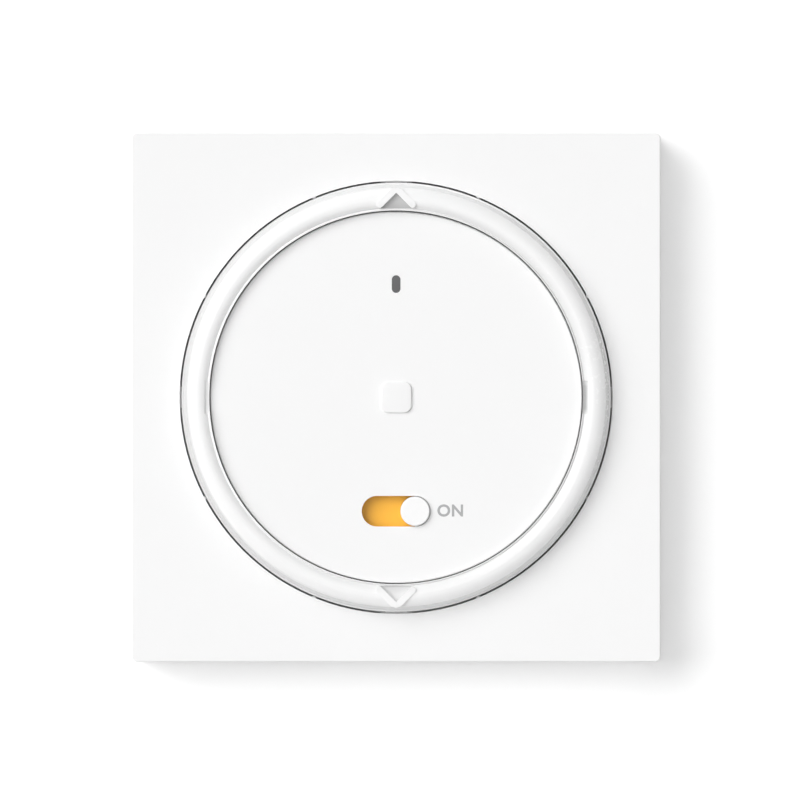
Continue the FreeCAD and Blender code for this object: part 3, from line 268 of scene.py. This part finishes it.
boardSkin = {"inputs": {"Tracks": 520.0, "Weave": 2400.0, "Gloss": 0.3, "Spread": 0.12}, "offset": 0.37,
             "squash": 0.6, "squashEvery": 3,
             "cells": {"Mortar Size": 0.09, "Mortar Smooth": 0.1, "Brick Width": 1.7, "Row Height": 0.6},
             "pourScale": 130.0, "pour": (0.47, 0.5), "weaveDetail": 1.0, "weaveTone": 0.22,
             "trackHeight": 0.8, "weaveHeight": 0.2}


def buildBoardSkin():
    # solder mask: tracks of copper show as paler bands, with a weave of glass under it
    group, given, made = startGroup("boardSkin", boardSkin["inputs"], colours=("Mask", "Track"))
    place = given.outputs["Place"]
    across, _, along = apartIn(group, place)
    cells = group.nodes.new("ShaderNodeTexBrick")
    cells.offset = boardSkin["offset"]
    cells.squash = boardSkin["squash"]
    cells.squash_frequency = boardSkin["squashEvery"]
    for title, value in boardSkin["cells"].items():
        cells.inputs[title].default_value = value
    flat = group.nodes.new("ShaderNodeCombineXYZ")
    group.links.new(across, flat.inputs[0])
    group.links.new(along, flat.inputs[1])
    group.links.new(flat.outputs[0], cells.inputs["Vector"])
    group.links.new(given.outputs["Tracks"], cells.inputs["Scale"])
    pour = rangeIn(group, noiseIn(group, place, boardSkin["pourScale"], detail=0.0), *boardSkin["pour"])
    track = mathIn(group, "MULTIPLY", cells.outputs["Fac"], pour)
    weave = noiseIn(group, place, given.outputs["Weave"], boardSkin["weaveDetail"])
    colour = blendIn(group, track, given.outputs["Mask"], given.outputs["Track"])
    shade = mathIn(group, "MULTIPLY", weave, boardSkin["weaveTone"])
    group.links.new(shadeIn(group, colour, shade), made.inputs["Colour"])
    group.links.new(spreadIn(group, given, weave), made.inputs["Roughness"])
    trackHeight = mathIn(group, "MULTIPLY", track, boardSkin["trackHeight"])
    weaveHeight = mathIn(group, "MULTIPLY", weave, boardSkin["weaveHeight"])
    group.links.new(mathIn(group, "ADD", trackHeight, weaveHeight), made.inputs["Height"])
    return group


skins = {"moulded": buildMouldedSkin(), "rolled": buildRolledSheet(), "board": buildBoardSkin()}
print("shared skins built:", len(skins))


# Painted shade on the rocker ring: where each grey patch starts and ends, and how dark it is

ringPaintedShade = {"lip": (28.5 * mm, 29.7 * mm, 0.17), "lipSides": (0.1, 1.0),
             "rim": (31.3 * mm, 31.65 * mm, 0.24), "rimEnd": 0.4,
             "floor": (-12.8 * mm, -12.6 * mm), "lowReach": 31.0 * mm, "halfWidth": 2.7 * mm,
             "leftShade": 0.05, "rightShade": 0.38, "upperShade": 0.42, "lowerShade": 0.17,
             "fade": (28.5 * mm, 29.15 * mm, 0.1), "ends": (1.7 * mm, 2.5 * mm, 0.25)}


def within(group, item, low, high):
    above = mathIn(group, "GREATER_THAN", item, low)
    return mathIn(group, "MULTIPLY", above, mathIn(group, "LESS_THAN", item, high))


def buildRingPaintedShade():
    # painted shade standing in for the ring's shading: grey at the inner lip, at the outer rim and on the floors of
    # the side marks and of the arrows
    group = bpy.data.node_groups.new("ringPaintedShade", "ShaderNodeTree")
    group.interface.new_socket(name="Place", in_out="INPUT", socket_type="NodeSocketVector")
    group.interface.new_socket(name="Shade", in_out="OUTPUT", socket_type="NodeSocketFloat")
    given, made = group.nodes.new("NodeGroupInput"), group.nodes.new("NodeGroupOutput")
    across, deep, along = apartIn(group, given.outputs["Place"])
    squares = [mathIn(group, "MULTIPLY", side, side) for side in (across, along)]
    reach = mathIn(group, "SQRT", mathIn(group, "ADD", *squares))
    # painted shade at the inner lip: darkest at the gap, fading outwards, and stronger on the right side than on the
    # left
    nearLip, offLip, lipShade = ringPaintedShade["lip"]
    lip = rangeIn(group, reach, nearLip, offLip, lipShade, 0.0)
    lip = mathIn(group, "MULTIPLY", lip, rangeIn(group, across, -nearLip, nearLip, *ringPaintedShade["lipSides"]))
    # the recess floors of the side marks and of the arrows, which get painted shade below
    floors = within(group, deep, *ringPaintedShade["floor"])
    floors = mathIn(group, "MULTIPLY", floors, mathIn(group, "LESS_THAN", reach, ringPaintedShade["lowReach"]))
    half = ringPaintedShade["halfWidth"]
    marks = mathIn(group, "MULTIPLY", floors, within(group, along, -half, half))
    arrows = mathIn(group, "MULTIPLY", floors, within(group, across, -half, half))
    # painted shade on the side marks at 3 and 9 o'clock: darker on the right than on the left, fading outwards and
    # towards the ends
    markShade = rangeIn(group, across, -nearLip, nearLip, ringPaintedShade["leftShade"], ringPaintedShade["rightShade"])
    nearFade, offFade, outerShare = ringPaintedShade["fade"]
    markShade = mathIn(group, "MULTIPLY", markShade, rangeIn(group, reach, nearFade, offFade, 1.0, outerShare))
    nearEnd, offEnd, endShare = ringPaintedShade["ends"]
    height = mathIn(group, "ABSOLUTE", along)
    markShade = mathIn(group, "MULTIPLY", markShade, rangeIn(group, height, nearEnd, offEnd, 1.0, endShare))
    # painted shade between the legs of the arrows: darker on the upper arrow than on the lower
    arrowShade = rangeIn(group, along, -nearLip, nearLip, ringPaintedShade["lowerShade"], ringPaintedShade["upperShade"])
    # painted shade on the outer rim: darkest on the left, fading to none a little right of the middle
    nearRim, offRim, rimShade = ringPaintedShade["rim"]
    rimSide = rangeIn(group, across, -offRim, ringPaintedShade["rimEnd"] * offRim, rimShade, 0.0)
    shade = mathIn(group, "ADD", lip, mathIn(group, "MULTIPLY", marks, markShade))
    shade = mathIn(group, "ADD", shade, mathIn(group, "MULTIPLY", arrows, arrowShade))
    shade = mathIn(group, "ADD", shade, mathIn(group, "MULTIPLY", rangeIn(group, reach, nearRim, offRim), rimSide))
    group.links.new(shade, made.inputs["Shade"])
    return group


paintedShades = {"ring": buildRingPaintedShade()}


def finishFrom(name, look):
    # one material from a look: its skin's inputs, then constants on the shader itself
    finish = bpy.data.materials.new(name)
    finish.use_nodes = True
    tree = finish.node_tree
    shader = tree.nodes["Principled BSDF"]
    place = tree.nodes.new("ShaderNodeTexCoord")
    skin = tree.nodes.new("ShaderNodeGroup")
    skin.node_tree = skins[look["skin"]]
    tree.links.new(place.outputs["Object"], skin.inputs["Place"])
    for title, value in look["inputs"].items():
        skin.inputs[title].default_value = (*value, 1.0) if isinstance(value, tuple) else value
    # painted shade from a shade group darkens the colour through the skin's Shade input
    if "paintedShades" in look:
        paintedShadeNode = tree.nodes.new("ShaderNodeGroup")
        paintedShadeNode.node_tree = paintedShades[look["paintedShades"]]
        tree.links.new(place.outputs["Object"], paintedShadeNode.inputs["Place"])
        tree.links.new(paintedShadeNode.outputs["Shade"], skin.inputs["Shade"])
    bump = tree.nodes.new("ShaderNodeBump")
    bump.inputs["Strength"].default_value = look["relief"]
    bump.inputs["Distance"].default_value = look["depth"] * mm
    tree.links.new(skin.outputs["Colour"], shader.inputs["Base Color"])
    tree.links.new(skin.outputs["Roughness"], shader.inputs["Roughness"])
    tree.links.new(skin.outputs["Height"], bump.inputs["Height"])
    tree.links.new(bump.outputs["Normal"], shader.inputs["Normal"])
    for title, value in look.get("shader", {}).items():
        shader.inputs[title].default_value = value
    return finish


def dress(look, *names):
    for name in names:
        coat(nodes[name], finishFrom(name, look))


# What the user sees and touches

coverFrame = {"skin": "moulded", "relief": 0.2, "depth": 0.004,
              "inputs": {"Colour": (0.9, 0.9, 0.9), "Grain": 4200.0, "Flow": 30.0, "Tone": 0.008, "Gloss": 0.42,
                         "Spread": 0.06}}
# the rocker ring's colour carries painted shade from its shade group
rockerRing = {"skin": "moulded", "paintedShades": "ring", "relief": 0.05, "depth": 0.003,
              "inputs": {"Colour": (0.9, 0.9, 0.9), "Grain": 1500.0, "Flow": 40.0, "Tone": 0.006, "Gloss": 0.26,
                         "Spread": 0.05},
              "shader": {"Coat Weight": 0.1, "Coat Roughness": 0.15}}
centreButton = {"skin": "moulded", "relief": 0.2, "depth": 0.004,
                "inputs": {"Colour": (0.9, 0.9, 0.9), "Grain": 4600.0, "Flow": 34.0, "Tone": 0.008, "Gloss": 0.42,
                           "Spread": 0.06}}
indicatorLens = {"skin": "moulded", "relief": 0.03, "depth": 0.003,
                 "inputs": {"Colour": (0.085, 0.085, 0.088), "Grain": 2600.0, "Flow": 700.0, "Tone": 0.1,
                            "Gloss": 0.22, "Spread": 0.05},
                 "shader": {"Coat Weight": 0.2, "Coat Roughness": 0.08}}
sliderKnob = {"skin": "moulded", "relief": 0.15, "depth": 0.003,
              "inputs": {"Colour": (0.93, 0.93, 0.93), "Grain": 5200.0, "Flow": 200.0, "Tone": 0.008, "Gloss": 0.36,
                         "Spread": 0.05}}
sliderFlag = {"skin": "moulded", "relief": 0.15, "depth": 0.003,
              "inputs": {"Colour": (1.0, 0.5, 0.035), "Grain": 5200.0, "Flow": 260.0, "Tone": 0.03, "Gloss": 0.4,
                         "Spread": 0.06}}
dress(coverFrame, "decor_frame")
dress(rockerRing, "rocker_ring")
dress(centreButton, "centre_button")
dress(indicatorLens, "indicator_lens")
dress(sliderKnob, "slider_knob")
dress(sliderFlag, "slider_flag")
print("front pieces finished")

# Wall plate, housing and the module's own mouldings

wallPlate = {"skin": "moulded", "relief": 0.3, "depth": 0.006,
             "inputs": {"Colour": (0.4, 0.4, 0.4), "Grain": 2600.0, "Flow": 40.0, "Tone": 0.05, "Gloss": 0.5,
                        "Spread": 0.1}}
rearHousing = {"skin": "moulded", "relief": 0.35, "depth": 0.008,
               "inputs": {"Colour": (0.62, 0.62, 0.61), "Grain": 2200.0, "Flow": 50.0, "Tone": 0.03, "Gloss": 0.52,
                          "Spread": 0.1}}
batteryCover = {"skin": "moulded", "relief": 0.35, "depth": 0.008,
                "inputs": {"Colour": (0.56, 0.56, 0.555), "Grain": 2400.0, "Flow": 60.0, "Tone": 0.03, "Gloss": 0.48,
                           "Spread": 0.1}}
frontChassis = {"skin": "moulded", "relief": 0.3, "depth": 0.006,
                "inputs": {"Colour": (0.8, 0.8, 0.79), "Grain": 2600.0, "Flow": 60.0, "Tone": 0.04, "Gloss": 0.5,
                           "Spread": 0.12}}
pairingButton = {"skin": "moulded", "relief": 0.2, "depth": 0.004,
                 "inputs": {"Colour": (0.13, 0.13, 0.135), "Grain": 4200.0, "Flow": 200.0, "Tone": 0.06,
                            "Gloss": 0.45, "Spread": 0.08}}
blackParts = {"skin": "moulded", "relief": 0.25, "depth": 0.004,
              "inputs": {"Colour": (0.02, 0.02, 0.021), "Grain": 5200.0, "Flow": 300.0, "Tone": 0.2, "Gloss": 0.4,
                         "Spread": 0.12}}
pairingPlunger = {"skin": "moulded", "relief": 0.15, "depth": 0.003,
                  "inputs": {"Colour": (0.75, 0.74, 0.7), "Grain": 5200.0, "Flow": 300.0, "Tone": 0.05,
                             "Gloss": 0.4, "Spread": 0.08}}
chipRow = {"skin": "moulded", "relief": 0.3, "depth": 0.006,
           "inputs": {"Colour": (0.3, 0.19, 0.1), "Grain": 3800.0, "Flow": 600.0, "Tone": 0.25, "Gloss": 0.42,
                      "Spread": 0.15}}
siliconeDomes = {"skin": "moulded", "relief": 0.2, "depth": 0.004,
                 "inputs": {"Colour": (0.6, 0.61, 0.6), "Grain": 3000.0, "Flow": 120.0, "Tone": 0.05, "Gloss": 0.46,
                            "Spread": 0.1},
                 "shader": {"Subsurface Weight": 0.25, "Subsurface Scale": 0.0015}}
indicatorLight = {"skin": "moulded", "relief": 0.05, "depth": 0.003,
                  "inputs": {"Colour": (0.85, 0.78, 0.42), "Grain": 3000.0, "Flow": 900.0, "Tone": 0.15,
                             "Gloss": 0.14, "Spread": 0.05},
                  "shader": {"Coat Weight": 0.5}}
dress(wallPlate, "wall_plate")
dress(rearHousing, "rear_housing")
dress(batteryCover, "battery_cover")
dress(frontChassis, "front_chassis")
dress(pairingButton, "pairing_button")
dress(blackParts, "microcontroller", "pairing_switch")
dress(pairingPlunger, "pairing_plunger")
dress(chipRow, "capacitors")
dress(indicatorLight, "indicator_led")
print("module mouldings finished")

# Metal pieces and the board

springSteel = {"skin": "rolled", "relief": 0.3, "depth": 0.006,
               "inputs": {"Colour": (0.58, 0.57, 0.55), "Lines": 2600.0, "Stretch": 0.05, "Tone": 0.3, "Gloss": 0.26,
                          "Spread": 0.2},
               "shader": {"Metallic": 1.0}}
platedCan = {"skin": "rolled", "relief": 0.2, "depth": 0.004,
             "inputs": {"Colour": (0.72, 0.71, 0.68), "Lines": 1800.0, "Stretch": 0.3, "Tone": 0.2, "Gloss": 0.22,
                        "Spread": 0.18},
             "shader": {"Metallic": 1.0}}
goldStrip = {"skin": "rolled", "relief": 0.25, "depth": 0.005,
             "inputs": {"Colour": (0.83, 0.58, 0.23), "Lines": 2400.0, "Stretch": 0.08, "Tone": 0.25, "Gloss": 0.24,
                        "Spread": 0.18},
             "shader": {"Metallic": 1.0}}
circuitBoard = {"skin": "board", "relief": 0.5, "depth": 0.02,
                "inputs": {"Mask": (0.78, 0.78, 0.75), "Track": (0.86, 0.84, 0.76), "Tracks": 520.0,
                           "Weave": 2400.0, "Gloss": 0.28, "Spread": 0.14}}
dress(springSteel, "module_clips", "battery_contact_plus", "battery_contact_minus", "chassis_screws")
dress(platedCan, "coin_cell", "rf_shield", "crystal")
dress(goldStrip, "antenna", "contact_pads", "slider_wiper", "clip_rivets")
dress(circuitBoard, "pcb")
print("metal and board finished")


# Silicone keys: the posts of the ring and of the button press them flat

keyDome = {"padDeep": 0.4 * mm, "cornerRadius": 0.35 * mm, "cornerSteps": 6, "footRadius": 0.9 * mm,
           "topRadius": 0.8 * mm, "steps": 40, "edgeRadius": 0.12 * mm, "edgeSteps": 4, "root": 0.15 * mm,
           "keep": 0.68}
stopDome = {"padDeep": 0.4 * mm, "footRadius": 4.0 * mm, "topRadius": 2.0 * mm, "steps": 64,
            "edgeRadius": 0.12 * mm, "edgeSteps": 4, "hollowRadius": 3.6 * mm, "hollowShare": 0.9,
            "tipRadius": 0.1 * mm, "keep": 0.81}


def springBack(piece, node):
    # rubber of the module, carried on the module's body in place of its CAD piece
    settle(piece)
    carry(piece, "module", finishFrom(piece.name, siliconeDomes))
    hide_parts(node)
    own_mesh(piece)


def makeKeyDome(name, node):
    low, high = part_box(node)
    across, along = (low.x + high.x) / 2, (low.z + high.z) / 2
    dropSelection()
    bpy.ops.mesh.primitive_cube_add(size=1, location=(across, high.y - keyDome["padDeep"] / 2, along))
    piece = nameIt(name)
    piece.scale = (high.x - low.x, keyDome["padDeep"], high.z - low.z)
    fixPlace()
    chooseDeepEdges(piece)
    bevelChosen(keyDome["cornerRadius"], keyDome["cornerSteps"])
    dropSelection()
    back = high.y - keyDome["root"]
    bpy.ops.mesh.primitive_cone_add(
        vertices=keyDome["steps"], radius1=keyDome["footRadius"], radius2=keyDome["topRadius"], depth=back - low.y,
        location=(across, (back + low.y) / 2, along), rotation=(upright, 0, 0))
    top = nameIt(name + "Top")
    fixPlace()
    choose(top, "polygons", facesFront)
    bevelChosen(keyDome["edgeRadius"], keyDome["edgeSteps"])
    makeActive(piece)
    bpy.ops.object.modifier_add(type="BOOLEAN")
    union = piece.modifiers[-1]
    union.operation = "UNION"
    union.object = top
    bpy.ops.object.modifier_apply(modifier=union.name)
    bpy.data.objects.remove(top)
    springBack(piece, node)


def makeStopDome():
    low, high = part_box("stop_key_mat")
    reach = (high.x - low.x) / 2
    front = high.y - stopDome["padDeep"]
    dropSelection()
    bpy.ops.mesh.primitive_cylinder_add(
        vertices=stopDome["steps"], radius=reach, depth=stopDome["padDeep"],
        location=(0, (front + high.y) / 2, 0), rotation=(upright, 0, 0))
    piece = nameIt("stopDome")
    fixPlace()
    choose(piece, "polygons", facesFront)
    bpy.ops.mesh.inset(thickness=reach - stopDome["footRadius"], depth=0)
    bpy.ops.mesh.extrude_region_move(TRANSFORM_OT_translate={"value": (0, low.y - front, 0)})
    share = stopDome["topRadius"] / stopDome["footRadius"]
    bpy.ops.transform.resize(value=(share, 1, share))
    bevelChosen(stopDome["edgeRadius"], stopDome["edgeSteps"])
    choose(piece, "polygons", facesBack)
    bpy.ops.mesh.inset(thickness=reach - stopDome["hollowRadius"], depth=0)
    bpy.ops.mesh.inset(thickness=stopDome["hollowRadius"] - stopDome["tipRadius"], depth=0)
    bpy.ops.transform.translate(value=(0, -stopDome["hollowShare"] * stopDome["padDeep"], 0))
    springBack(piece, "stop_key_mat")


# Raised square on the middle of the button: the generic sign for stop

stopMark = {"side": 4.7 * mm, "rise": 0.36 * mm, "root": 0.05 * mm, "cornerRadius": 1.15 * mm, "cornerSteps": 10,
            "edgeRadius": 0.16 * mm, "edgeSteps": 5, "pillow": 0.04 * mm, "pillowInset": 0.5 * mm,
            "rimReach": 0.01 * mm}


def makeStopMark():
    dropSelection()
    depth = stopMark["rise"] + stopMark["root"]
    middle = discFront - stopMark["rise"] + depth / 2
    bpy.ops.mesh.primitive_cube_add(size=1, location=(0, middle, 0))
    piece = nameIt("stopMark")
    piece.scale = (stopMark["side"], depth, stopMark["side"])
    bpy.ops.object.transform_apply(location=False, rotation=False, scale=True)
    chooseDeepEdges(piece)
    bevelChosen(stopMark["cornerRadius"], stopMark["cornerSteps"])
    choose(piece, "polygons", facesFront)
    bpy.ops.mesh.inset(thickness=stopMark["pillowInset"], depth=0)
    bpy.ops.transform.translate(value=(0, -stopMark["pillow"], 0))
    rim = middle - piece.location.y - depth / 2

    def onRim(edge):
        ends = [piece.data.vertices[index].co for index in edge.vertices]
        return all(abs(end.y - rim) < stopMark["rimReach"] for end in ends)

    choose(piece, "edges", onRim)
    bevelChosen(stopMark["edgeRadius"], stopMark["edgeSteps"])
    settle(piece)
    carry(piece, "centre_button", finishFrom("stopMark", centreButton))


# Printed word beside the switch: grey ink, as thick as a pad print

onWord = {"text": "ON", "left": 6.23 * mm, "foot": -18.02 * mm, "height": 1.85 * mm, "bolder": 0.026,
          "ink": 0.02 * mm, "bite": 0.006 * mm, "spacing": 1.08, "curveSteps": 10, "halfDepth": 0.5,
          "weld": 0.0001 * mm,
          "look": {"skin": "moulded", "relief": 0.1, "depth": 0.002,
                   "inputs": {"Colour": (0.42, 0.42, 0.425), "Grain": 6000.0, "Flow": 900.0, "Tone": 0.06,
                              "Gloss": 0.5, "Spread": 0.08}}}


def makeOnWord():
    dropSelection()
    bpy.ops.object.text_add(location=(0, 0, 0))
    piece = nameIt("onWord")
    piece.data.body = onWord["text"]
    piece.data.offset = onWord["bolder"]
    piece.data.space_character = onWord["spacing"]
    piece.data.resolution_u = onWord["curveSteps"]
    piece.data.extrude = onWord["halfDepth"]
    bpy.ops.object.convert(target="MESH")
    piece = nameIt("onWord")
    corners = [vertex.co.copy() for vertex in piece.data.vertices]
    low = Vector([min(corner[axis] for corner in corners) for axis in range(3)])
    high = Vector([max(corner[axis] for corner in corners) for axis in range(3)])
    size = onWord["height"] / (high.y - low.y)
    piece.scale = (size, size, onWord["ink"])
    piece.rotation_euler = (upright, 0, 0)
    piece.location = (onWord["left"] - low.x * size, discFront + onWord["bite"] - onWord["ink"] / 2,
                      onWord["foot"] - low.y * size)
    fixPlace()
    choose(piece, "polygons", lambda face: True)
    bpy.ops.mesh.remove_doubles(threshold=onWord["weld"])
    bpy.ops.mesh.normals_make_consistent(inside=False)
    settle(piece)
    carry(piece, "centre_button", finishFrom("onWord", onWord["look"]))


# Low dots that show where the battery cover locks and opens

lockDots = {"radius": 0.55 * mm, "rise": 0.12 * mm, "root": 0.06 * mm, "steps": 32, "edgeRadius": 0.06 * mm,
            "edgeSteps": 3, "coverReach": 11.6 * mm, "housingReach": 14.8 * mm, "turn": math.radians(35)}


def makeDot(name, x, z, back):
    dropSelection()
    depth = lockDots["rise"] + lockDots["root"]
    bpy.ops.mesh.primitive_cylinder_add(
        vertices=lockDots["steps"], radius=lockDots["radius"], depth=depth,
        location=(x, back + lockDots["rise"] - depth / 2, z), rotation=(-upright, 0, 0))
    piece = nameIt(name)
    fixPlace()
    choose(piece, "polygons", facesBack)
    bevelChosen(lockDots["edgeRadius"], lockDots["edgeSteps"])
    settle(piece)
    return piece


def makeLockDots():
    hinge = next(joint for joint in frame["joints"] if joint["child"] == "battery_cover")["pos_m"]
    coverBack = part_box("battery_cover")[1].y
    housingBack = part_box("rear_housing")[1].y
    dot = makeDot("coverDot", hinge[0], hinge[2] + lockDots["coverReach"], coverBack)
    carry(dot, "battery_cover", finishFrom("coverDot", batteryCover))
    reach = lockDots["housingReach"]
    for name, angle in (("lockedDot", 0.0), ("openDot", lockDots["turn"])):
        dot = makeDot(name, hinge[0] + reach * math.sin(angle), hinge[2] + reach * math.cos(angle), housingBack)
        carry(dot, "module", finishFrom(name, rearHousing))


makeKeyDome("upDome", "up_key_dome")
makeKeyDome("downDome", "down_key_dome")
makeStopDome()
print("silicone keys made")
makeStopMark()
makeOnWord()
makeLockDots()
print("marks made")


# Wall, floor and light

room = {"wallGap": 0.25 * mm, "wallSide": 2.4, "floorDrop": 1.2, "wallColour": (0.93, 0.93, 0.93),
        "wallGlow": 0.22, "floorColour": (0.9, 0.9, 0.9), "floorGlow": 0.04, "openSide": 78 * mm,
        "glowFrom": 0.45, "plasterScale": 900.0, "relief": 0.1, "depth": 0.01 * mm}
light = {"air": 0.22,
         "keyTo": (-0.63, -0.695, 0.34), "keyStrength": 2.2, "keyWidth": 50.0,
         "topTo": (-0.142, -0.574, 0.807), "topStrength": 0.25, "topWidth": 30.0,
         "fillTo": (-0.062, -0.996, 0.062), "fillStrength": 0.57, "fillWidth": 60.0,
         "rearTo": (0.25, 0.9, 0.35), "rearStrength": 1.0, "rearWidth": 60.0}


def stageFinish(name, colour, glow, hole=0.0):
    # pale paint that shows from its front side only, with a little glow of its own for the camera
    finish = bpy.data.materials.new(name)
    finish.use_nodes = True
    tree = finish.node_tree
    tree.nodes.clear()
    out = tree.nodes.new("ShaderNodeOutputMaterial")
    paint = tree.nodes.new("ShaderNodeBsdfDiffuse")
    shine = tree.nodes.new("ShaderNodeEmission")
    both = tree.nodes.new("ShaderNodeAddShader")
    clear = tree.nodes.new("ShaderNodeBsdfTransparent")
    pick = tree.nodes.new("ShaderNodeMixShader")
    path = tree.nodes.new("ShaderNodeLightPath")
    side = tree.nodes.new("ShaderNodeNewGeometry")
    place = tree.nodes.new("ShaderNodeTexCoord")
    plaster = tree.nodes.new("ShaderNodeTexNoise")
    plaster.inputs["Scale"].default_value = room["plasterScale"]
    bump = tree.nodes.new("ShaderNodeBump")
    bump.inputs["Strength"].default_value = room["relief"]
    bump.inputs["Distance"].default_value = room["depth"]
    tree.links.new(place.outputs["Object"], plaster.inputs["Vector"])
    tree.links.new(plaster.outputs["Fac"], bump.inputs["Height"])
    tree.links.new(bump.outputs["Normal"], paint.inputs["Normal"])
    paint.inputs["Color"].default_value = (*colour, 1.0)
    shine.inputs["Color"].default_value = white
    front = mathIn(tree, "SUBTRACT", 1.0, side.outputs["Backfacing"])
    seen = mathIn(tree, "MULTIPLY", front, path.outputs["Is Camera Ray"])
    tree.links.new(paint.outputs[0], both.inputs[0])
    tree.links.new(shine.outputs[0], both.inputs[1])
    if hole:      # light reaches the back of the remote through the wall, which doesn't glow behind it
        sides = apartIn(tree, place.outputs["Object"])
        across, along = (mathIn(tree, "ABSOLUTE", sides[axis]) for axis in (0, 1))
        away = mathIn(tree, "MAXIMUM", across, along)
        beside = mathIn(tree, "GREATER_THAN", away, hole / 2)
        # the glow fades out towards the middle of the hole: a painted shade on the wall behind the remote, which
        # also darkens what shows through its gaps
        seen = mathIn(tree, "MULTIPLY", seen, rangeIn(tree, away, hole * room["glowFrom"], hole / 2))
        front = mathIn(tree, "MULTIPLY", front, mathIn(tree, "MAXIMUM", beside, path.outputs["Is Camera Ray"]))
    tree.links.new(mathIn(tree, "MULTIPLY", seen, glow), shine.inputs["Strength"])
    tree.links.new(front, pick.inputs[0])
    tree.links.new(clear.outputs[0], pick.inputs[1])
    tree.links.new(both.outputs[0], pick.inputs[2])
    tree.links.new(pick.outputs[0], out.inputs["Surface"])
    return finish


def makeRoom():
    dropSelection()
    side = room["wallSide"]
    bpy.ops.mesh.primitive_plane_add(size=side, location=(0, room["wallGap"], 0), rotation=(upright, 0, 0))
    wall = nameIt("wall")
    coat(wall, stageFinish("wallPaint", room["wallColour"], room["wallGlow"], room["openSide"]))
    dropSelection()
    bpy.ops.mesh.primitive_plane_add(size=side, location=(0, room["wallGap"] - side / 2, -room["floorDrop"]))
    floor = nameIt("floor")
    coat(floor, stageFinish("floorPaint", room["floorColour"], room["floorGlow"]))


def aimSun(name, towards, strength, width):
    dropSelection()
    bpy.ops.object.light_add(type="SUN", location=Vector(towards))
    sun = bpy.context.object
    sun.name = name
    sun.rotation_mode = "QUATERNION"
    sun.rotation_quaternion = Vector(towards).to_track_quat("Z", "Y")
    sun.data.energy = strength
    sun.data.angle = math.radians(width)


def makeAir():
    # white air where it is seen, straight or in a shiny face, and fainter air that lights the room
    world = bpy.data.worlds.new("studioAir")
    scene.world = world
    world.use_nodes = True
    tree = world.node_tree
    tree.nodes.clear()
    out = tree.nodes.new("ShaderNodeOutputWorld")
    path = tree.nodes.new("ShaderNodeLightPath")
    faint = tree.nodes.new("ShaderNodeBackground")
    bright = tree.nodes.new("ShaderNodeBackground")
    for node, strength in ((faint, light["air"]), (bright, 1.0)):
        node.inputs["Color"].default_value = white
        node.inputs["Strength"].default_value = strength
    pick = tree.nodes.new("ShaderNodeMixShader")
    seen = mathIn(tree, "MAXIMUM", path.outputs["Is Camera Ray"], path.outputs["Is Transmission Ray"])
    seen = mathIn(tree, "MAXIMUM", seen, path.outputs["Is Glossy Ray"])
    tree.links.new(seen, pick.inputs[0])
    tree.links.new(faint.outputs[0], pick.inputs[1])
    tree.links.new(bright.outputs[0], pick.inputs[2])
    tree.links.new(pick.outputs[0], out.inputs["Surface"])


makeRoom()
makeAir()
for lamp in ("key", "top", "fill", "rear"):
    aimSun(lamp + "Sun", light[lamp + "To"], light[lamp + "Strength"], light[lamp + "Width"])
print("room lit")


# Camera square to the frame, far off, with a long lens

camera = {"distance": 1.2, "view": 121.0 * mm, "sensor": 36.0, "aim": (0.586 * mm, -0.407 * mm),
          "clip": (0.05, 20.0)}


def placeCamera():
    dropSelection()
    aim = Vector((camera["aim"][0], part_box("decor_frame")[0].y, camera["aim"][1]))
    away = Vector((0, -1, 0))
    bpy.ops.object.camera_add(location=aim + away * camera["distance"])
    lens = bpy.context.object
    lens.name = "frontCamera"
    lens.rotation_mode = "QUATERNION"
    lens.rotation_quaternion = away.to_track_quat("Z", "Y")
    lens.data.sensor_width = camera["sensor"]
    lens.data.lens = camera["sensor"] * camera["distance"] / camera["view"]
    lens.data.clip_start, lens.data.clip_end = camera["clip"]
    scene.camera = lens


placeCamera()
scene.view_settings.view_transform = "Standard"
dropSelection()
